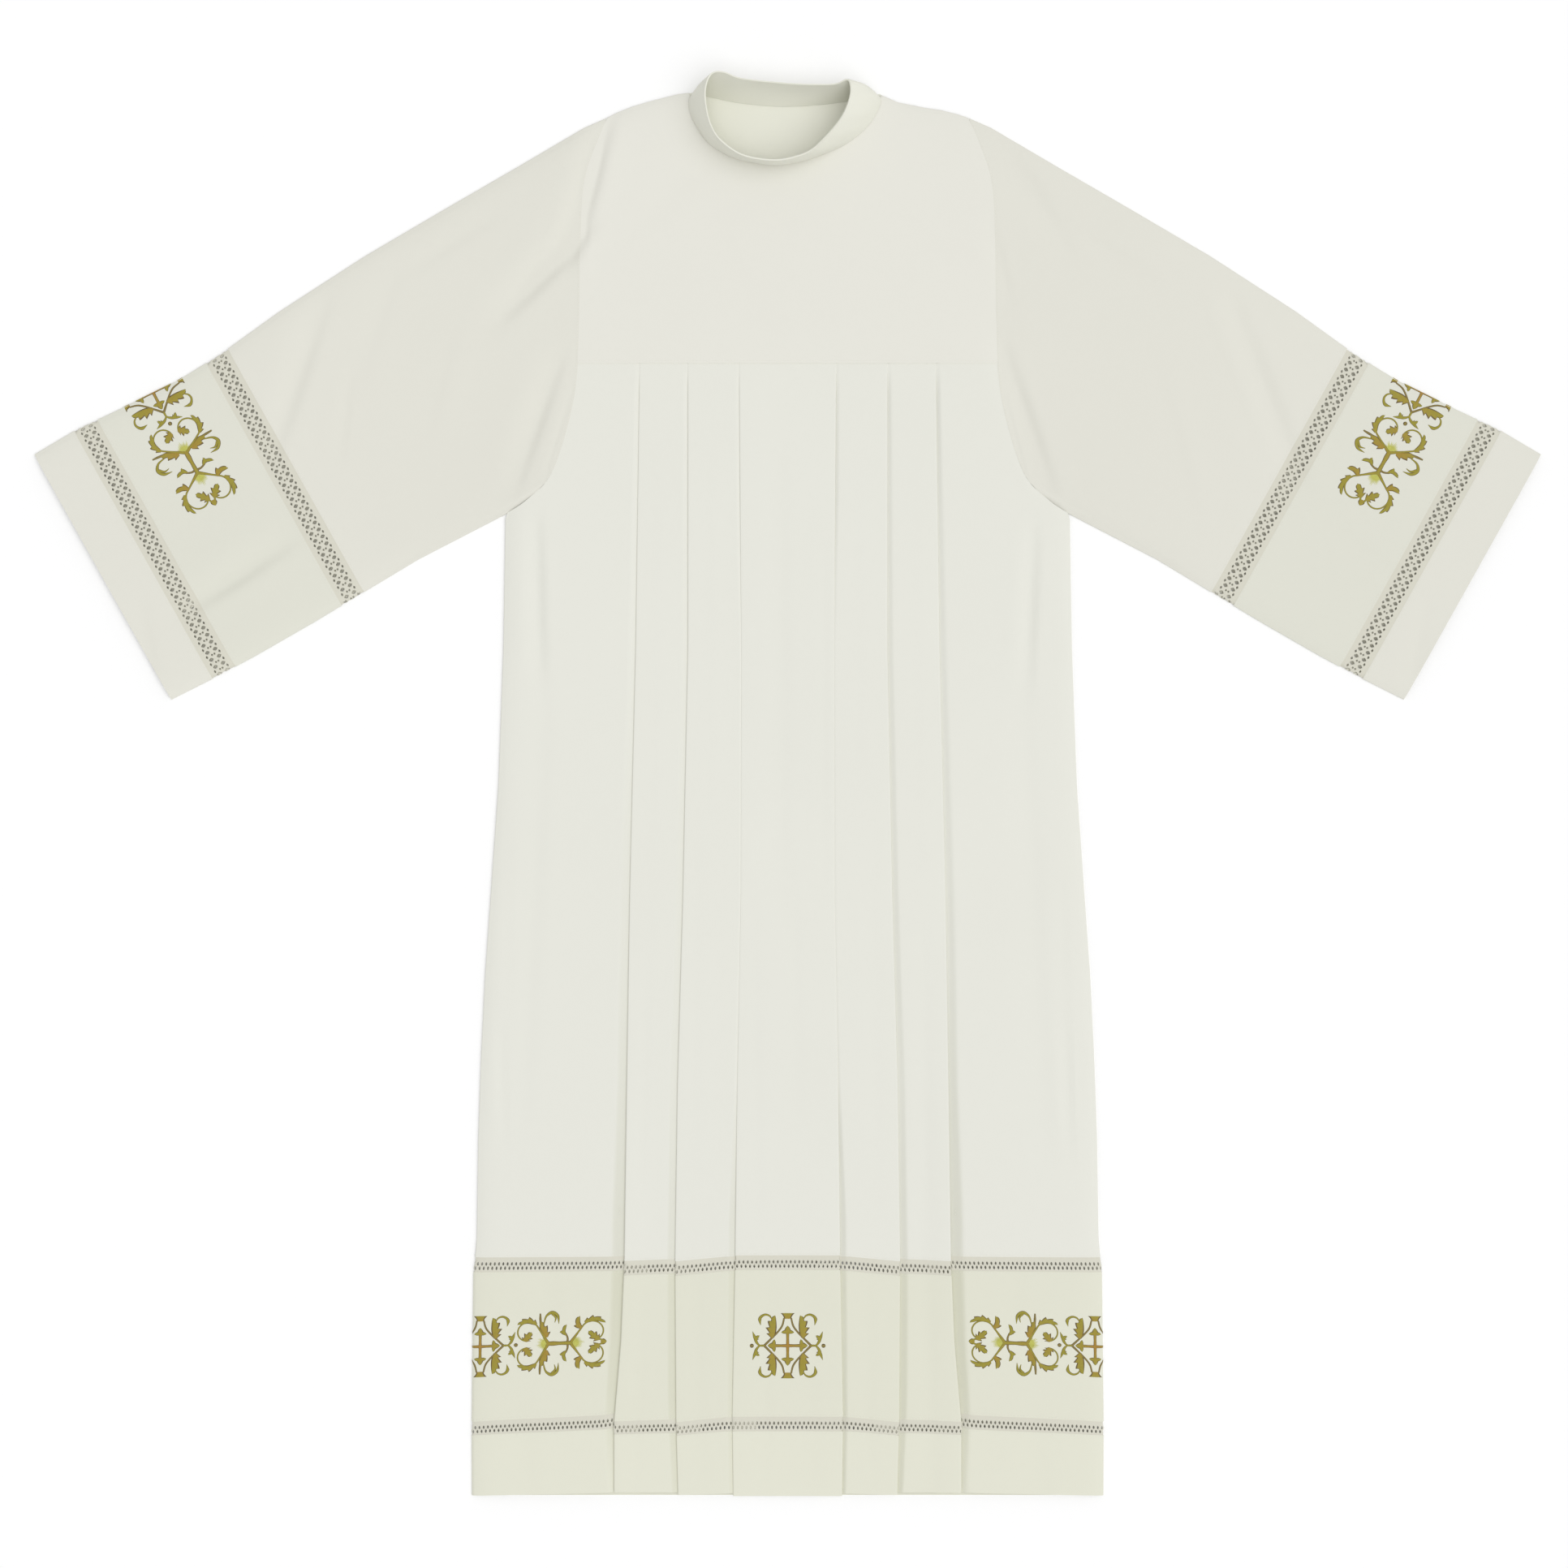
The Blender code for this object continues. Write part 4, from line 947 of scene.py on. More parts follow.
def in_hole(hole, x, y, length):
    """Whether a point of a flat repeat lies in one of its holes."""
    along, across = abs(x - hole.along * length) / hole.half_length, abs(y - hole.across) / hole.half_width
    return along**hole.roundness + across**hole.roundness < 0.9


def lace_repeat(name, length, marks, holes, knots):
    """One flat repeat of a lace as a thin wall round its holes, open at both ends, where repeats join."""
    flat, raised, edges, hole_lines = [], [], [], []
    for across in marks:
        for along in (0.0, 0.5 * length, length):
            flat.append((along, across))
            raised.append(0.0)
    for hole in holes:
        first = len(flat)
        for step in range(8):
            angle = step * pi / 4
            power = hole.roundness
            reach = (abs(cos(angle)) ** power + abs(sin(angle)) ** power) ** (-1 / power)
            x = hole.along * length + hole.half_length * reach * cos(angle)
            flat.append((x, hole.across + hole.half_width * reach * sin(angle)))
            raised.append(-0.04)
            edges.append((first + step, first + (step + 1) % 8))
        hole_lines.append(range(first, first + 8))
    for knot in knots:
        for along in (knot.along, 1.0) if knot.along == 0.0 else (knot.along,):
            flat.append((along * length, knot.across))
            raised.append(knot.raised)
    points, _, triangles, origins, _, _ = delaunay_2d_cdt(flat, edges, [], 0, 1e-6)
    raised = [raised[origin[0]] if origin else 0.0 for origin in origins]
    places = {origin[0]: i for i, origin in enumerate(origins) if origin}
    kept = []
    for triangle in triangles:
        x, y = np.mean([points[i] for i in triangle], axis=0)
        if not any(in_hole(hole, x, y, length) for hole in holes):
            kept.append(tuple(triangle))
    count = len(points)
    corners = [(x, y, LACE_LEVEL + z) for (x, y), z in zip(points, raised)]
    corners += [(x, y, -LACE_LEVEL) for x, y in points]
    faces = kept + [tuple(count + i for i in reversed(triangle)) for triangle in kept]
    rims = [[places[i] for i in (*line, line[0])] for line in hole_lines]
    for across, way in ((marks[0], 1), (marks[-1], -1)):
        line = sorted((x, i) for i, (x, y) in enumerate(points) if abs(y - across) < 1e-4)
        rims.append([i for _, i in line][::way])
    for line in rims:
        faces += [(b, a, count + a, count + b) for a, b in zip(line[:-1], line[1:])]
    mesh = bpy.data.meshes.new(name)
    mesh.from_pydata([tuple(v * MM for v in corner) for corner in corners], [], faces)
    return put_in_scene(name, mesh)


def geometry_tree(name, inputs):
    """A Geometry Nodes tree with named inputs; returns it with its input's outputs and its output node."""
    tree = bpy.data.node_groups.new(name, "GeometryNodeTree")
    tree.is_modifier = True
    for label, kind in (("Geometry", "Geometry"), *inputs):
        tree.interface.new_socket(label, in_out="INPUT", socket_type="NodeSocket" + kind)
    tree.interface.new_socket("Geometry", in_out="OUTPUT", socket_type="NodeSocketGeometry")
    return tree, add(tree, "NodeGroupInput").outputs, add(tree, "NodeGroupOutput")


def then(tree, geometry, kind, inputs=None, **settings):
    """The next node of a chain, which takes a geometry first; returns its first output."""
    return add(tree, kind, {0: geometry, **(inputs or {})}, **settings).outputs[0]


def finish_tree(tree, geometry, given, result):
    """Ends a tree: smooth shading, and the material of its Finish input."""
    geometry = then(tree, geometry, "GeometryNodeSetShadeSmooth")
    geometry = then(tree, geometry, "GeometryNodeSetMaterial", {"Material": given["Finish"]})
    feed(tree, result, {"Geometry": geometry})
    return tree


def attribute_field(tree, name):
    """A named vector attribute as a field."""
    named = add(tree, "GeometryNodeInputNamedAttribute", {"Name": name}, data_type="FLOAT_VECTOR")
    return named.outputs["Attribute"]


def vector_maths(tree, operation, inputs):
    """A Vector Math node; returns its vector."""
    return add(tree, "ShaderNodeVectorMath", inputs, operation=operation).outputs["Vector"]


def make_lace_tree():
    """Sets lace repeats end to end, wraps the flat ribbon on to its cloth surface and gives it its finish."""
    inputs = (
        ("Repeat", "Object"), ("Repeats", "Int"), ("Repeat length", "Float"), ("Length", "Float"),
        ("Width", "Float"), ("Finish", "Material"),
    )
    tree, given, result = geometry_tree("lace_along_cloth", inputs)
    repeat = add(tree, "GeometryNodeObjectInfo", {"Object": given["Repeat"]}).outputs["Geometry"]
    step = add(tree, "ShaderNodeCombineXYZ", {"X": given["Repeat length"]}).outputs[0]
    line = add(tree, "GeometryNodeMeshLine", {"Count": given["Repeats"], "Offset": step}).outputs[0]
    lace = then(tree, line, "GeometryNodeInstanceOnPoints", {"Instance": repeat})
    lace = then(tree, lace, "GeometryNodeRealizeInstances")
    lace = then(tree, lace, "GeometryNodeMergeByDistance", {"Distance": 0.00002})
    position = add(tree, "GeometryNodeInputPosition").outputs[0]
    grain = {"Name": "grain", "Value": position}
    lace = then(tree, lace, "GeometryNodeStoreNamedAttribute", grain, data_type="FLOAT2", domain="CORNER")
    flat = split(tree, position)
    shares = {}
    for axis, size in (("X", "Length"), ("Y", "Width")):
        shares[axis] = held_between(tree, maths(tree, "DIVIDE", flat[axis], given[size]), 0.00002, 0.99998)
    place = {
        "Mesh": given["Geometry"],
        "UV Map": attribute_field(tree, "lace_place"),
        "Sample UV": add(tree, "ShaderNodeCombineXYZ", shares).outputs[0],
    }
    sampled = []
    for value in (position, attribute_field(tree, "outward")):
        sample = add(tree, "GeometryNodeSampleUVSurface", {"Value": value, **place}, data_type="FLOAT_VECTOR")
        sampled.append(sample.outputs["Value"])
    outward = vector_maths(tree, "SCALE", {0: sampled[1], "Scale": flat["Z"]})
    wrapped = vector_maths(tree, "ADD", {0: sampled[0], 1: outward})
    lace = then(tree, lace, "GeometryNodeSetPosition", {"Position": wrapped})
    lace = then(tree, lace, "GeometryNodeMergeByDistance", {"Distance": 0.00003})
    return finish_tree(tree, lace, given, result)


def outward_normals(middle, closed):
    """Unit normals that point out of a ring, or up from a sheet that lies face up."""
    normal = surface_normals(middle, closed)
    highest = np.unravel_index(np.argmax(middle[:, :, 2]), middle.shape[:2])
    return normal * (1.0 if normal[highest][2] > 0 else -1.0)


def made_by_nodes(base, tree, values):
    """Runs a tree on an object, its inputs set by socket identifier, and keeps the result as a plain mesh."""
    modifier = base.modifiers.new(tree.name, "NODES")
    modifier.node_group = tree
    sockets = {item.name: item.identifier for item in tree.interface.items_tree if item.in_out == "INPUT"}
    for label, value in values.items():
        modifier[sockets[label]] = value
    base.update_tag()
    depsgraph = bpy.context.evaluated_depsgraph_get()
    mesh = bpy.data.meshes.new_from_object(base.evaluated_get(depsgraph))
    base.modifiers.remove(modifier)
    base.data = mesh
    return base


def make_lace(name, middle, repeat, repeat_length, width, material):
    """A lace made round its ground: the surface that its cloth neighbours leave for it."""
    outward = outward_normals(middle, True)
    ring = np.concatenate([middle, middle[:, :1]], axis=1)
    outward = np.concatenate([outward, outward[:, :1]], axis=1)
    lengths = length_across(middle, True)
    rows, columns = ring.shape[:2]
    spots = np.zeros((rows, columns, 3))
    spots[:, :, 0] = lengths / lengths[:, -1:]
    spots[:, :, 1] = np.linspace(0, 1, rows)[:, None]
    total = float(lengths[:, -1].mean())
    repeats = round(total / repeat_length)
    r, c = (v.ravel() for v in np.meshgrid(np.arange(rows - 1), np.arange(columns - 1), indexing="ij"))
    first = r * columns + c
    faces = np.stack([first, first + columns, first + columns + 1, first + 1], axis=1)
    mesh = new_mesh(name, ring.reshape(-1, 3), faces.tolist())
    for label, values in (("outward", outward), ("lace_place", spots)):
        mesh.attributes.new(label, "FLOAT_VECTOR", "POINT").data.foreach_set("vector", values.ravel())
    inputs = {
        "Repeat": repeat,
        "Repeats": repeats,
        "Repeat length": repeat_length * MM,
        "Length": repeats * repeat_length * MM,
        "Width": width * MM,
        "Finish": material,
    }
    lace = made_by_nodes(put_in_scene(name, mesh), LACE_TREE, inputs)
    lace.data.set_sharp_from_angle(angle=radians(60))
    return lace


LACE_TREE = make_lace_tree()
# The lines along each lace on which its repeat has points, its two edges among them
hem_lace_marks = (0.0, 2.2, 4.2, 13.5, HEM_LACE)
sleeve_lace_marks = (0.0, 1.6, 3.6, 22.3, 24.3, SLEEVE_LACE)
hem_lace_repeat = lace_repeat("hem_lace_repeat", HEM_REPEAT, hem_lace_marks, HEM_LACE_HOLES, HEM_LACE_KNOTS)
sleeve_lace_repeat = lace_repeat(
    "sleeve_lace_repeat", SLEEVE_REPEAT, sleeve_lace_marks, SLEEVE_LACE_HOLES, SLEEVE_LACE_KNOTS
)
ecru_thread = woven_cotton("ecru_thread", (215, 213, 199), 0.0, ageing=0.08, threads=1100.0, relief=0.00012)
for node, top in (("hem_lace_upper", HEM_LACE_TOP), ("hem_lace_lower", LOW_LACE_TOP)):
    middle = hem_rows(top, top - HEM_LACE, 4)[0]
    lace = make_lace(node + "_openwork", middle, hem_lace_repeat, HEM_REPEAT, HEM_LACE, ecru_thread)
    sew_in(lace, middle, node, closed=True)
for side, word in ((-1, "left"), (1, "right")):
    for part, first in (("lower", 1), ("upper", 3)):
        node = f"sleeve_{word}_lace_{part}"
        middle = sleeve_rows(side, SLEEVE_MARKS[first], SLEEVE_MARKS[first + 1], 6)
        name = node + "_openwork"
        lace = make_lace(name, middle, sleeve_lace_repeat, SLEEVE_REPEAT, SLEEVE_LACE, ecru_thread)
        sew_in(lace, middle, node, closed=True)
for repeat in (hem_lace_repeat, sleeve_lace_repeat):
    bpy.data.objects.remove(repeat, do_unlink=True)

# Machine stitching. Rows of small white cotton stitches hold the yoke, the armholes, the collar's edge and
# both sides of every lace, and a small tack holds each outer pleat above the hem.
STITCH_PITCH = 3.2
THREAD_RADIUS = 0.21
STITCH_LIFT = 0.05  # how far the middle of a stitch lies over the cloth
SEAM_INSET = 1.6
TOP_INSET = 2.4  # of the two rows that hold the pleats, on both sides of the yoke seam
UPWARD = (0.0, 0.0, 1.0)
Tack = namedtuple("Tack", "x y length")
TACKS = [Tack(*row) for row in (
    (-170.4, -432.3, 3.6), (170.4, -434, 3.4),
)]


def make_stitch_tree():
    """Sets one small stitch after another along lines, each turned along its line and a little uneven."""
    inputs = (("Pitch", "Float"), ("Thread", "Float"), ("Seed", "Int"), ("Finish", "Material"))
    tree, given, result = geometry_tree("stitches_along_line", inputs)
    lines = then(tree, given["Geometry"], "GeometryNodeMeshToCurve")
    lines = then(tree, lines, "GeometryNodeResampleCurve", {"Length": given["Pitch"]}, mode="LENGTH")
    ball = add(tree, "GeometryNodeMeshUVSphere", {"Segments": 4, "Rings": 4, "Radius": 1.0}).outputs["Mesh"]
    half = {
        "X": maths(tree, "MULTIPLY", given["Pitch"], 0.38),
        "Y": given["Thread"],
        "Z": maths(tree, "MULTIPLY", given["Thread"], 0.8),
    }
    size = add(tree, "ShaderNodeCombineXYZ", half).outputs[0]
    stitch = then(tree, ball, "GeometryNodeTransform", {"Scale": size})
    tangent = add(tree, "GeometryNodeInputTangent").outputs[0]
    ahead = add(tree, "FunctionNodeAlignRotationToVector", {"Vector": tangent}, axis="X").outputs[0]
    turn = {"Rotation": ahead, "Vector": attribute_field(tree, "outward")}
    upright = add(tree, "FunctionNodeAlignRotationToVector", turn, axis="Z", pivot_axis="X").outputs[0]
    least_and_most = {2: 0.85, 3: 1.1, "Seed": given["Seed"]}
    uneven = add(tree, "FunctionNodeRandomValue", least_and_most, data_type="FLOAT").outputs[1]
    placed = {"Instance": stitch, "Rotation": upright, "Scale": uneven}
    stitches = then(tree, lines, "GeometryNodeInstanceOnPoints", placed)
    stitches = then(tree, stitches, "GeometryNodeRealizeInstances")
    return finish_tree(tree, stitches, given, result)


def seam_row(middle, closed, row, step, inset, wall=CLOTH):
    """A line on a piece's outer side, inset in millimetres from one of its rows towards the next one."""
    outward = outward_normals(middle, closed)
    outer = middle + outward * wall / 2
    apart = np.linalg.norm(outer[row + step] - outer[row], axis=1)[:, None]
    line = outer[row] + (outer[row + step] - outer[row]) * np.minimum(inset / np.maximum(apart, 0.1), 1.0)
    normal = outward[row]
    if closed:
        first = int(np.argmin(line[:, 2]))
        line, normal = np.roll(line, -first, axis=0), np.roll(normal, -first, axis=0)
        up = line[:, 2] > EDGE_LEVEL
        line, normal = line[up], normal[up]
    return line, normal


def make_stitches(name, lines, seed):
    """The machine stitches of some seams as one piece."""
    points = np.concatenate([line for line, _ in lines])
    normals = np.concatenate([normal for _, normal in lines])
    edges, first = [], 0
    for line, _ in lines:
        edges += [(first + i, first + i + 1) for i in range(len(line) - 1)]
        first += len(line)
    mesh = new_mesh(name, points + normals * STITCH_LIFT, [], edges)
    mesh.attributes.new("outward", "FLOAT_VECTOR", "POINT").data.foreach_set("vector", normals.ravel())
    inputs = {"Pitch": STITCH_PITCH * MM, "Thread": THREAD_RADIUS * MM, "Seed": seed, "Finish": white_thread}
    stitches = made_by_nodes(put_in_scene(name, mesh), STITCH_TREE, inputs)
    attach(stitches, "root")


def make_thread_finish(name, colour):
    """Plain sewing thread, twisted, seen by its own place on the robe."""
    material, tree, shader = new_material(name)
    rough = noise(tree, add(tree, "ShaderNodeTexCoord").outputs["Object"], 2600.0, 2.0)
    shade = maths(tree, "MULTIPLY_ADD", rough, 0.16, 0.9)
    inputs = {
        "Base Color": mixed(tree, linear_colour(*colour), shade, blend="MULTIPLY"),
        "Roughness": maths(tree, "MULTIPLY_ADD", rough, 0.2, 0.55),
    }
    feed(tree, shader, inputs)
    return material


STITCH_TREE = make_stitch_tree()
white_thread = make_thread_finish("white_thread", (236, 234, 224))
yoke_edge = yoke_middle[-1][46:-46]  # the part of the yoke's last row that lies along the seam
yoke_line = np.stack([yoke_edge[:, 0], yoke_edge[:, 1] + TOP_INSET, yoke_edge[:, 2] + CLOTH / 2], axis=1)
body_lines = [
    seam_row(front_middle, False, 0, 1, TOP_INSET),
    seam_row(front_middle, False, -1, -1, SEAM_INSET),
    (yoke_line, np.tile(UPWARD, (len(yoke_edge), 1))),
]
make_stitches("body_stitches", body_lines, 3)
hem_lines = [
    seam_row(hem_band_middle, True, 0, 1, SEAM_INSET),
    seam_row(hem_band_middle, True, -1, -1, SEAM_INSET),
    seam_row(hem_border_middle, True, 0, 1, SEAM_INSET),
]
make_stitches("hem_stitches", hem_lines, 5)
for side, word in ((-1, "left"), (1, "right")):
    sleeve_lines = []
    for part in ("", "_band", "_cuff"):
        for row, step in ((0, 1), (-1, -1)):
            sleeve_lines.append(seam_row(sleeve_walls[f"sleeve_{word}{part}"], True, row, step, SEAM_INSET))
    make_stitches(f"sleeve_{word}_stitches", sleeve_lines, 7 + side)
collar_lines = [
    seam_row(collar_middle, True, row, step, inset, COLLAR_WALL)
    for row, step, inset in ((-1, -1, 2.2), (0, 1, SEAM_INSET))
]
make_stitches("collar_stitches", collar_lines, 11)

near = front_middle.reshape(-1, 3)
tack_lines = []
for tack in TACKS:
    spot = np.array([[tack.x, tack.y + step * tack.length, 0.0] for step in np.linspace(-0.5, 0.5, 5)])
    under = near[(np.abs(near[:, 0] - tack.x) < 3.5) & (np.abs(near[:, 1] - tack.y) < 8.0)]
    spot[:, 2] = under[:, 2].max() + CLOTH / 2
    tack_lines.append((spot, np.tile(UPWARD, (5, 1))))
make_stitches("pleat_tacks", tack_lines, 13)

# Embroidery. Satin stitch in olive-gold thread with dark brown edges and warm orange hearts: a cross in a
# lozenge with leaves at the middle of the hem, and the same cross with scrolls at each side and sleeve.
SATIN_HEIGHT = 0.45
SATIN_SUNK = 0.12  # how far a shape's underside lies in the cloth
SATIN_RING = (-1.0, -0.62, 0.0, 0.62, 1.0, 0.0)  # the points round a shape, the last one on its underside
FULL_THICK = 1.4  # a shape of this half width or more has the full height
MOTIF_LEVEL = -569.2  # the middle motif's place along the robe
SIDE_LEVEL = -566.6
SIDE_TILT = 0.014
FOLD_TO_CROSS = 9.0  # from the hem's side fold to the middle of the cross
SIDE_STRETCH = 0.92  # the motifs of the side panels are a little lower than the sleeves'
SLEEVE_CROSS = 0.6  # the cross of a sleeve lies over its top fold
SLEEVE_MOTIF = 136.0  # the sleeve motif's place from the cuff's end
SLEEVE_STRETCH = 1.03

THIN_STEM, THIN_GAIN = 1.2, 1.3  # a stem whose widths stay under the first is widened by the second
BROWN_STEM = 0.95  # a stem is brown where it is nowhere wider
DOT_PLACE, DOT_RADIUS = 36.4, 2.1  # the dot at each side point of the lozenge
THREAD_PITCH = 0.0004  # metres from one thread of satin stitch to the next

Stem = namedtuple("Stem", "points width warmth")
Leaf = namedtuple("Leaf", "points width lobes lobed_side warmth")


# One arm of the cross, and a quarter of its lozenge with the leaves round it
ARM_STEM = Stem(((0, 0), (7, 0), (14, 0)), (1.7, 1.45, 1.7), 0.6)
ARM_LEAVES = [Leaf(*row) for row in (
    (((11.6, 0), (15, 0), (20.2, 0)), 2.5, 0, 0, 0.3),
    (((14.2, 0), (14, -2.8), (13.4, -6.4)), 1.5, 0, 0, 0.2),
    (((14.2, 0), (14, 2.8), (13.4, 6.4)), 1.5, 0, 0, 0.2),
)]
LOZENGE_STEMS = [Stem(*row) for row in (
    (((23.6, 0.2), (16, 7.8), (10.2, 13.8), (5.6, 20.2), (3.6, 28)), (0.95, 0.8, 0.75, 0.75, 0.7), 0.05),
    (((23.6, -0.2), (28.4, 0.2), (31.6, 3.6), (33.4, 8.4), (35.6, 14.4)), (0.95, 0.9, 1.5, 1.5, 0.2), 0.1),
    (((15.6, 26.4), (18.6, 30.4), (23.6, 31.4), (28.2, 27.6), (27.4, 20.8)), (0.6, 0.95, 1.25, 1.75, 0.2),
     0.1),
)]
LOZENGE_LEAVES = [Leaf(*row) for row in (
    (((32.4, 4.8), (31.4, 8.6), (28.4, 10.2)), 2, 2, 1, 0.1),
    (((15.6, 8), (15.4, 16), (14.6, 23), (12.8, 30.8)), 5.2, 4, -1, 0.25),
)]
TIP_LEAF = Leaf(((0, 27.4), (0, 30.2), (0, 33)), 4.2, -1, 0, 0.35)


def mirrored(shapes, across, up):
    """Some stems or leaves mirrored across or up by -1."""
    result = []
    for shape in shapes:
        shape = shape._replace(points=[(across * x, up * y) for x, y in shape.points])
        if isinstance(shape, Leaf):
            shape = shape._replace(lobed_side=across * up * shape.lobed_side)
        result.append(shape)
    return result


def turned(shape, quarters):
    """A stem or leaf turned by some quarters of a turn."""
    c, s = round(cos(quarters * pi / 2)), round(sin(quarters * pi / 2))
    return shape._replace(points=[(c * x - s * y, s * x + c * y) for x, y in shape.points])


def cross_and_lozenge():
    """The motif of every place: a cross with leafy ends in a curved lozenge, with leaves round it."""
    stems = [turned(ARM_STEM, quarters) for quarters in range(4)]
    leaves = [turned(leaf, quarters) for quarters in range(4) for leaf in ARM_LEAVES]
    for across in (-1, 1):
        for up in (-1, 1):
            stems += mirrored(LOZENGE_STEMS, across, up)
            leaves += mirrored(LOZENGE_LEAVES, across, up)
    return stems, leaves + mirrored([TIP_LEAF], 1, -1) + [TIP_LEAF]


def scroll(node, centre, radius, start, sweep, end_radius):
    """A stem that leaves a node and runs into a spiral round a centre; angles in degrees."""
    angles = np.radians(start + np.linspace(0, sweep, 13))
    radii = np.linspace(radius, end_radius, 13)
    return [node] + [(centre[0] + r * cos(a), centre[1] + r * sin(a)) for a, r in zip(angles, radii)]


# The upper half of the branch, and the stem and the leaf along its middle
SCROLL_WIDTHS = (1.7, 1.0, 0.85, 0.8, 0.8, 0.8)
BRANCH_STEMS = [Stem(*row) for row in (
    (scroll((68.8, 1.2), (48.4, 13.2), 11.6, 28, 238, 9.4), SCROLL_WIDTHS, 0.15),
    (((61.4, 22), (61, 28), (60.9, 33.6)), (0.9, 0.95, 0.6), 0),
    (((64.6, 22), (67, 30.4), (73, 34.4), (78.6, 30.6), (79.8, 21.6)), (0.6, 1, 1.9, 1.5, 0.2), 0.1),
    (((73, 33), (76.6, 28.6), (75.6, 23.2)), (1.1, 0.8, 0.2), 0.1),
    (((88.8, 1.4), (88.9, 5.6), (87, 10.6)), (0.9, 0.75, 0.7), 0.1),
    (scroll((92.6, 1.4), (114.6, 11.8), 12.6, 158, -220, 9.6), SCROLL_WIDTHS, 0.15),
    (((125.4, 0.4), (123.4, 2.2), (120.4, 3)), (1.1, 0.8, 0.7), 0.1),
)]
BRANCH_LEAVES = [Leaf(*row) for row in (
    (((46, 3.2), (47.6, 7), (52.4, 13.4)), 4.2, 3, 0, 0.3),
    (((57.4, 21.8), (48.6, 25.6), (37.6, 22.2)), 3.5, 4, -1, 0.15),
    (((67.6, 7), (65.4, 14), (62.6, 19.6), (61.8, 25.6)), 4.3, 3, -1, 0.45),
    (((87.4, 8.6), (84.8, 13.6), (87.8, 20.8)), 2.4, 2, 1, 0.1),
    (((86, 10.4), (83.2, 12.4), (80.8, 12)), 1.4, 0, 0, 0.1),
    (((121, 2.6), (116.4, 6.2), (110, 12.6)), 4.2, 3, 0, 0.2),
    (((106, 22.6), (117, 25.8), (127.4, 21.2)), 3.3, 4, 1, 0.15),
    (((103, 15.6), (99.2, 21.8), (101, 29.6)), 3.4, 2, 1, 0.4),
)]
MIDDLE_STEM = Stem(((67.6, 0), (72, 0), (80, 0), (88, 0), (94, 0)), (2.2, 2.6, 1.9, 2.2, 2.4), 0.25)
MIDDLE_LEAF = Leaf(((122.6, 0), (125.2, 0), (128.6, 0)), 2.6, 0, 0, 0.3)


def ribbon(points, half_left, half_right, warmth=0.0):
    """A satin-stitched shape as rings of local points: a low dome over a flat underside, and its warmth."""
    points = np.asarray(points, float)
    ahead = np.gradient(points, axis=0)
    ahead /= np.maximum(np.linalg.norm(ahead, axis=1), 1e-6)[:, None]
    left = np.stack([-ahead[:, 1], ahead[:, 0]], axis=1)
    length = np.insert(np.cumsum(np.linalg.norm(np.diff(points, axis=0), axis=1)), 0, 0)
    rings = []
    for across in SATIN_RING:
        reach = np.where(across < 0, half_right, half_left) * across
        plan = points + left * reach[:, None]
        thick = np.minimum((half_left + half_right) / 2, FULL_THICK) / FULL_THICK
        dome = SATIN_HEIGHT * (0.45 + 0.55 * thick) * (1 - across**2)
        rings.append(np.column_stack([plan, dome, length, np.full(len(points), across)]))
    rings[-1][:, 2] = -SATIN_SUNK
    shape = np.stack(rings, axis=1)
    return shape, np.broadcast_to(np.reshape(warmth, (-1, 1)), shape.shape[:2])


def stem_ribbon(stem):
    """A stem's ribbon, its width following the stem from end to end."""
    line = smooth_curve(stem.points, 6)
    line = even_run(line, max(6, int(np.linalg.norm(np.diff(line, axis=0), axis=1).sum() / 0.8)))
    share = np.linspace(0, 1, len(line))
    half = np.interp(share, np.linspace(0, 1, len(stem.width)), stem.width)
    if max(stem.width) < THIN_STEM:
        half *= THIN_GAIN
    return ribbon(line, half, half, stem.warmth * (1 - 0.6 * share))


def leaf_ribbon(leaf):
    """A leaf's ribbon: full in its middle, its lobes on one side or, for a side of 0, on both.

    A leaf with -1 lobes widens to its end instead.
    """
    line = even_run(smooth_curve(leaf.points, 8), 34)
    share = np.linspace(0, 1, len(line))
    if leaf.lobes < 0:
        full = leaf.width * (0.9 + 0.8 * share**2)
    else:
        full = 1.3 * leaf.width * np.sin(pi * np.clip(share * 0.94 + 0.06, 0, 1) ** 0.85) ** 0.75
        full = np.maximum(full, 0.12)
    half_left = half_right = full
    if leaf.lobes > 0:
        notched = full * (0.5 + 0.66 * ((share * leaf.lobes + 0.2) % 1.0) ** 1.2)
        half_left = notched if leaf.lobed_side >= 0 else full * 0.6
        half_right = notched if leaf.lobed_side <= 0 else full * 0.6
    return ribbon(line, half_left, half_right, leaf.warmth * (1 - 0.7 * share))


def dot_ribbon(x, y, radius):
    """A small round dot of satin stitch."""
    share = np.linspace(-0.98, 0.98, 9)
    half = radius * np.sqrt(1 - share**2)
    return ribbon([(x + radius * s, y) for s in share], half, half)


GLOW_WIDTHS = np.array((0.25, 0.4, 0.42, 0.35, 0.1))
GLOW_REACH = 13.0
Glow = namedtuple("Glow", "x facing seed")
GLOWS = (Glow(68.4, -1, 17), Glow(93.6, 1, 19))


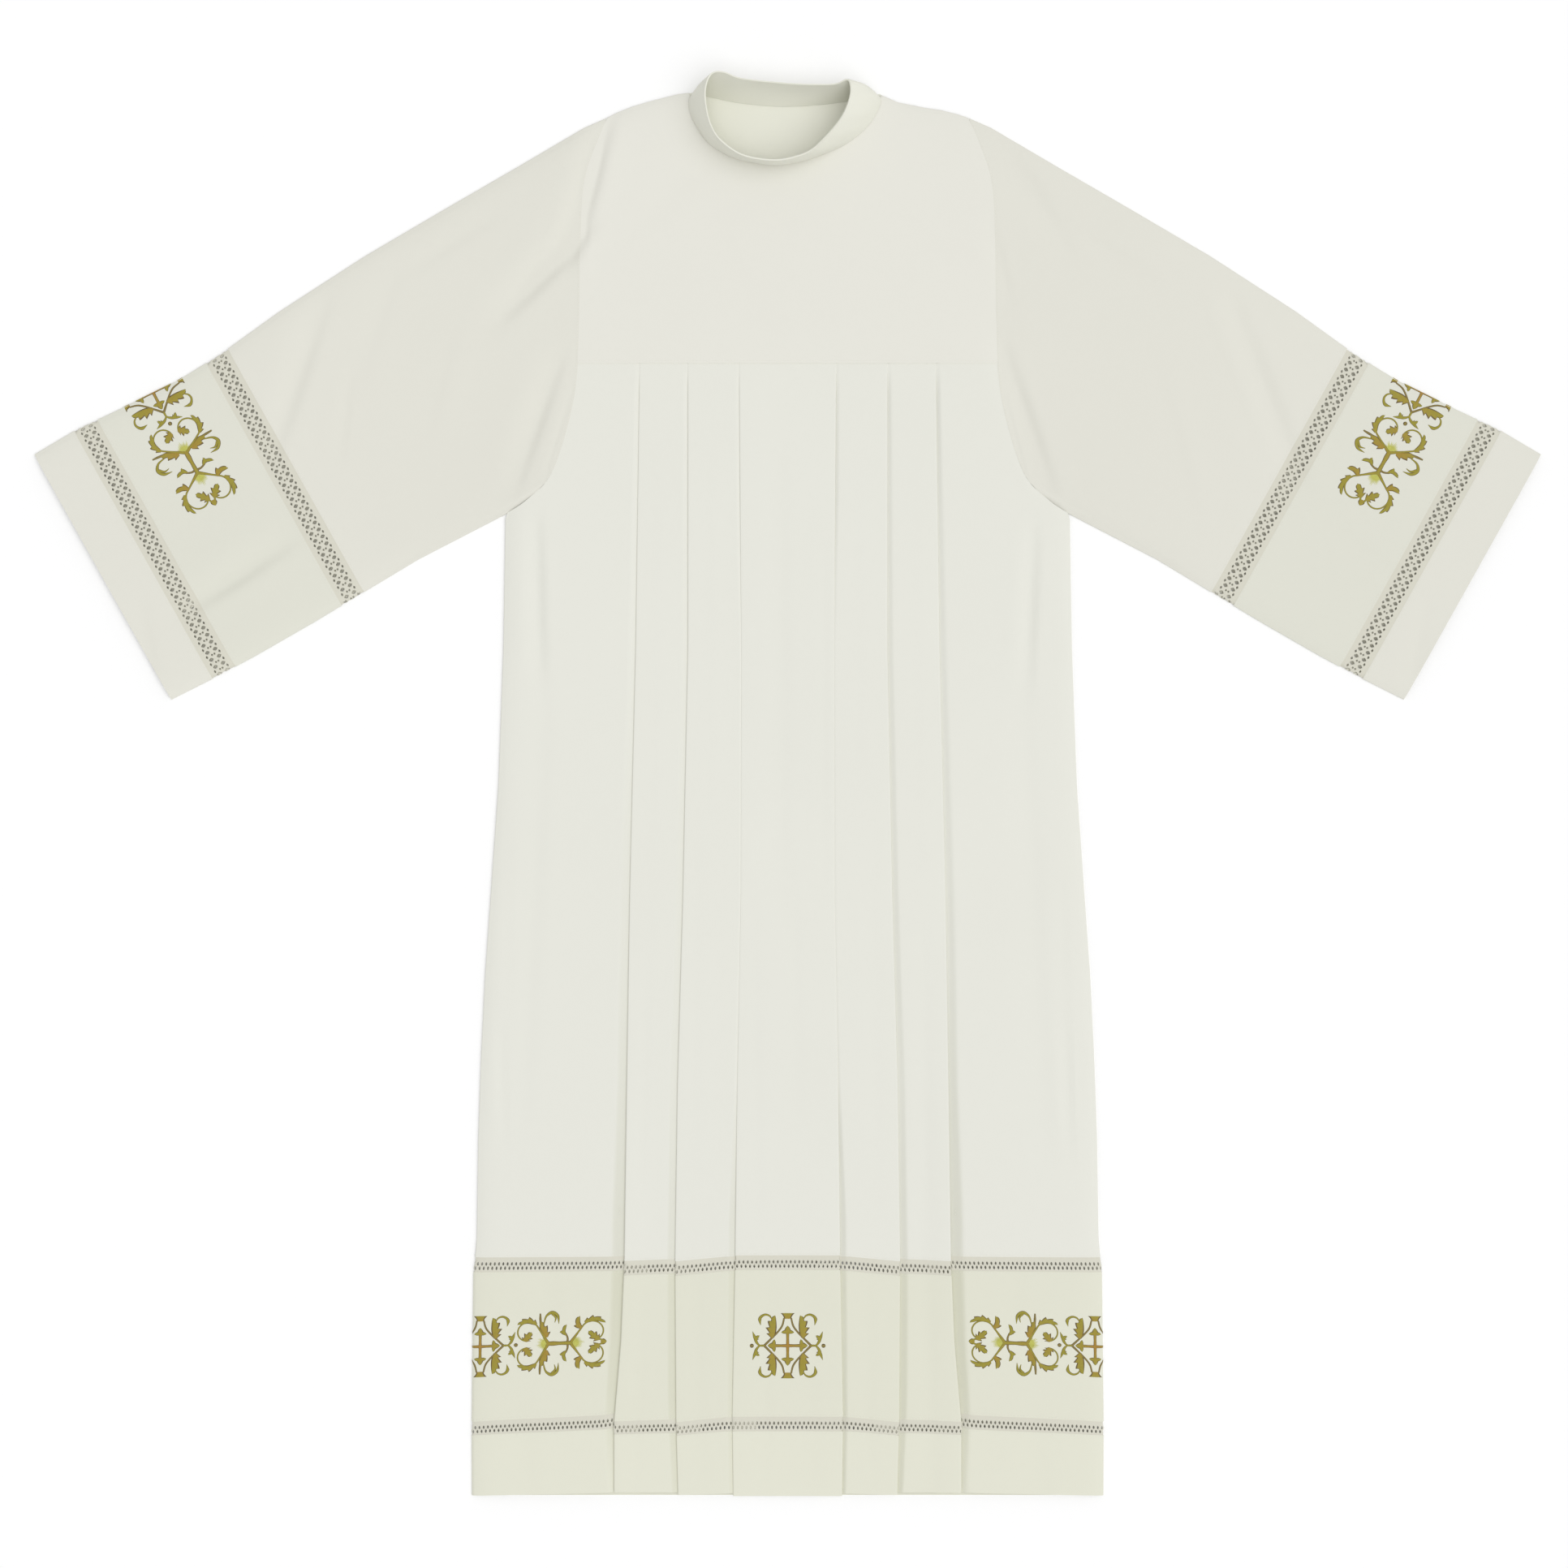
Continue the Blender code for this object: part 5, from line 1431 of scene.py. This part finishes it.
def glow_ribbons(x, facing, seed):
    """Loose pale stitches that fan out from a node of the branch, as shading stitches do."""
    spread = np.random.default_rng(seed)
    shapes = []
    for turn in np.linspace(-1.2, 1.2, 19):
        length = GLOW_REACH * (0.72 + 0.28 * spread.random()) * (1 - 0.25 * abs(turn))
        way = np.array((facing * cos(turn), sin(turn)))
        line = np.array((x, 0.0)) + way * np.linspace(0.6, length, 5)[:, None]
        shape, warmth = ribbon(line, GLOW_WIDTHS, GLOW_WIDTHS)
        shape[:, :, 2] *= 0.4
        shapes.append((shape, warmth))
    return shapes


def make_satin_thread(name, colour, heart, edge, edge_from):
    """Embroidery thread laid side by side: fine ridges across the shape with painted shade between them, a
    dark edge and a warm heart.
    """
    inputs = {
        "Grain": "grain",
        "Across": "across",
        "Colour": linear_colour(*colour),
        "Heart": linear_colour(*heart),
        "Edge": linear_colour(*edge),
        "Edge from": edge_from,
    }
    return finish_of(SATIN_STITCH, name, inputs, {"Sheen Weight": 0.1, "Specular IOR Level": 0.4})


def make_satin_group():
    """Satin stitch: threads that run slanting across a shape, painted darker in the grooves between them as
    shade, with its edge and heart in other colours.
    """
    inputs = (
        ("Grain", "Vector", None),
        ("Across", "Vector", None),
        ("Colour", "Color", (0.4, 0.3, 0.1, 1.0)),
        ("Heart", "Color", (0.5, 0.25, 0.1, 1.0)),
        ("Edge", "Color", (0.15, 0.1, 0.05, 1.0)),
        ("Edge from", "Float", 0.7),
    )
    group, given, result = node_group("satin_stitch", inputs, SURFACE_OUTPUTS)
    calc = partial(maths, group)
    grain, across = split(group, given["Grain"]), split(group, given["Across"])
    slant = calc("MULTIPLY_ADD", grain["Y"], 0.35, grain["X"])
    ridge = calc("ABSOLUTE", calc("SINE", calc("MULTIPLY", slant, pi / THREAD_PITCH)))
    out = calc("ABSOLUTE", across["X"])
    edge = held_between(group, calc("MULTIPLY", calc("SUBTRACT", out, given["Edge from"]), 6.0), 0.0, 1.0)
    uneven = noise(group, given["Grain"], 420.0, 2.0)
    warm = calc("MINIMUM", calc("MULTIPLY", across["Y"], calc("MULTIPLY_ADD", uneven, 0.6, 0.7)), 1.0)
    colour = mixed(group, mixed(group, given["Colour"], given["Heart"], warm), given["Edge"], edge)
    # The grooves between the threads are painted darker (painted shade), and the colour also varies a little
    # at random.
    shade = calc("ADD", calc("MULTIPLY_ADD", ridge, 0.28, 0.68), calc("MULTIPLY", uneven, 0.2))
    bump = add(group, "ShaderNodeBump", {"Strength": 1.0, "Distance": 0.0001, "Height": ridge})
    outputs = {
        "Colour": mixed(group, colour, shade, blend="MULTIPLY"),
        "Roughness": calc("MULTIPLY_ADD", uneven, 0.2, 0.34),
        "Normal": bump.outputs["Normal"],
    }
    feed(group, result, outputs)
    return group


def cloth_places(middle, marks, anchor, way):
    """A function that lays places on a ring of cloth, by length round from an anchor column and by mark."""
    outward = outward_normals(middle, True)
    outer = middle + outward * CLOTH / 2
    lengths = length_across(outer, True)
    total = lengths[:, -1:]
    around = np.concatenate([lengths[:, :-1] - total, lengths[:, :-1], lengths[:, :-1] + total], axis=1)
    around = (around - lengths[:, anchor : anchor + 1]) * way
    outer, outward = np.tile(outer, (1, 3, 1)), np.tile(outward, (1, 3, 1))
    if way < 0:
        around, outer, outward = around[:, ::-1], outer[:, ::-1], outward[:, ::-1]
    rows = np.arange(len(marks))

    def lay(distance, mark, lift):
        order = np.argsort(marks)
        row = np.clip(np.interp(mark, np.asarray(marks)[order], rows[order]), 0, len(marks) - 1.001)
        low = row.astype(int)
        result = np.zeros((len(distance), 3))
        for r in np.unique(low):
            chosen = low == r
            share = (row - r)[chosen][:, None]
            ends = []
            for line in (r, r + 1):
                here = partial(np.interp, distance[chosen], around[line])
                spot = np.stack([here(values) for values in outer[line].T], axis=1)
                normal = np.stack([here(values) for values in outward[line].T], axis=1)
                ends.append(spot + normal * lift[chosen][:, None])
            result[chosen] = ends[0] * (1 - share) + ends[1] * share
        return result

    return lay


def make_motif(name, shapes, material, lay, place):
    """Embroiders satin shapes on a cloth: place turns local places into the cloth's own."""
    points, faces, grain, across = [], [], [], []
    first = 0
    for shape, warmth in shapes:
        rows, sides = shape.shape[:2]
        distance, mark = place(shape[:, :, 0].ravel(), shape[:, :, 1].ravel())
        points.append(lay(distance, mark, shape[:, :, 2].ravel()))
        grain.append(np.column_stack([shape[:, :, 3].ravel(), (shape[:, :, 4] * 2.0).ravel()]) * MM)
        across.append(np.column_stack([shape[:, :, 4].ravel(), warmth.ravel()]))
        for low in range(first, first + (rows - 1) * sides, sides):
            high = low + sides
            for s in range(sides):
                n = (s + 1) % sides
                faces.append((low + s, low + n, high + n, high + s))
        faces.append(tuple(reversed(range(first, first + sides))))
        first += rows * sides
        faces.append(tuple(range(first - sides, first)))
    points, grain, across = (np.concatenate(part) for part in (points, grain, across))
    mesh = new_mesh(name, points, faces)
    corners = np.concatenate([np.array(face) for face in faces])
    for label, values in (("grain", grain), ("across", across)):
        mesh.uv_layers.new(name=label)
        mesh.uv_layers[label].uv.foreach_set("vector", values[corners].ravel())
    mesh.shade_smooth()
    mesh.set_sharp_from_angle(angle=radians(75))
    mesh.materials.append(material)
    motif = put_in_scene(name, mesh)
    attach(motif, "root")


SATIN_STITCH = make_satin_group()
gold_thread = make_satin_thread("gold_thread", (158, 152, 48), (182, 118, 52), (104, 86, 54), 0.64)
brown_thread = make_satin_thread("brown_thread", (142, 126, 62), (164, 110, 56), (100, 82, 56), 0.5)
pale_thread = make_satin_thread("pale_thread", (206, 206, 100), (212, 202, 90), (212, 212, 130), 0.8)

cross_stems, cross_leaves = cross_and_lozenge()
branch_stems = mirrored(BRANCH_STEMS, 1, -1) + BRANCH_STEMS + [MIDDLE_STEM]
branch_leaves = mirrored(BRANCH_LEAVES, 1, -1) + BRANCH_LEAVES + [MIDDLE_LEAF]
hem_marks = np.linspace(HEM_LACE_TOP - HEM_LACE, LOW_LACE_TOP, len(hem_band_middle))
Place = namedtuple("Place", "name middle marks anchor way from_fold mark tilt along across")
first_ring = hem_band_middle[0, :, 0]
front_column = (len(first_ring) - BACK_COLUMNS) // 2
side_place = (FOLD_TO_CROSS, SIDE_LEVEL, SIDE_TILT, 1.0, SIDE_STRETCH)
places = [
    Place("hem_middle", hem_band_middle, hem_marks, front_column, 1, 0.0, MOTIF_LEVEL, 0.0, 1.0, 1.0),
    Place("hem_left", hem_band_middle, hem_marks, int(np.argmin(first_ring)), 1, *side_place),
    Place("hem_right", hem_band_middle, hem_marks, int(np.argmax(first_ring)), -1, *side_place),
]
sleeve_place = (SLEEVE_CROSS, SLEEVE_MOTIF, 0.0, SLEEVE_STRETCH, 1.0)
for word in ("left", "right"):
    middle = sleeve_walls[f"sleeve_{word}_band"]
    marks = np.linspace(SLEEVE_MARKS[2], SLEEVE_MARKS[3], len(middle))
    last = middle.shape[1] - 8  # from here on the ring goes round the top fold
    top_fold = last + int(np.argmin(np.abs(middle[0, last:, 2] - (EDGE_LEVEL + BACK_LEVEL) / 2)))
    places.append(Place(f"sleeve_{word}", middle, marks, top_fold, 1, *sleeve_place))
for spot in places:
    def place(x, y):
        return spot.along * x + spot.from_fold, spot.mark + spot.across * y + spot.tilt * x

    lay = cloth_places(spot.middle, spot.marks, spot.anchor, spot.way)
    stems, leaves = list(cross_stems), list(cross_leaves)
    dots = [dot_ribbon(DOT_PLACE, 0.0, DOT_RADIUS)]
    if spot.name == "hem_middle":
        dots.append(dot_ribbon(-DOT_PLACE, 0.0, DOT_RADIUS))
    else:
        stems += branch_stems
        leaves += branch_leaves
        glows = [shape for glow in GLOWS for shape in glow_ribbons(*glow)]
        make_motif(spot.name + "_glow", glows, pale_thread, lay, place)
    gold = [leaf_ribbon(leaf) for leaf in leaves]
    gold += [stem_ribbon(stem) for stem in stems if max(stem.width) > BROWN_STEM]
    brown = [stem_ribbon(stem) for stem in stems if max(stem.width) <= BROWN_STEM] + dots
    make_motif(spot.name + "_gold", gold, gold_thread, lay, place)
    make_motif(spot.name + "_brown", brown, brown_thread, lay, place)

# Camera, light and surface. The robe lies on a plain white table under one broad light and an even sky, and
# is seen from straight above.
CAMERA_HEIGHT = 2.8
PHOTO_WIDTH = 1.5939
PHOTO_MIDDLE = (-0.0037, 0.0036)
SENSOR = 36.0
TABLE_REACH = 6.0
camera = bpy.data.cameras.new("camera")
camera.sensor_width = SENSOR
camera.lens = SENSOR * CAMERA_HEIGHT / PHOTO_WIDTH
camera_stand = put_in_scene("camera", camera)
camera_stand.location = (*PHOTO_MIDDLE, CAMERA_HEIGHT)
bpy.context.scene.camera = camera_stand

# The light comes from the lower right and shades the creases
key = bpy.data.lights.new("key_light", "SUN")
key.energy = 1.4
key.angle = radians(75)
key_holder = put_in_scene("key_light", key)
key_holder.location = (0.7, -0.3, 2.0)
key_holder.rotation_euler = (-key_holder.location).to_track_quat("-Z", "Y").to_euler()

world = bpy.data.worlds.new("studio")
world.use_nodes = True
sky = world.node_tree.nodes["Background"]
feed(world.node_tree, sky, {"Color": (1.0, 1.0, 1.0, 1.0), "Strength": 0.62})
bpy.context.scene.world = world
bpy.context.scene.view_settings.view_transform = "Standard"

table_paint, paint_tree, paint_shader = new_material("white_table")
feed(paint_tree, paint_shader, {"Base Color": (0.97, 0.97, 0.97, 1.0), "Roughness": 0.9})
table_mesh = bpy.data.meshes.new("table")
table_corners = [(x * TABLE_REACH, y * TABLE_REACH, 0.0) for x, y in ((-1, -1), (1, -1), (1, 1), (-1, 1))]
table_mesh.from_pydata(table_corners, [], [(0, 1, 2, 3)])
table_mesh.materials.append(table_paint)
table = put_in_scene("table", table_mesh)
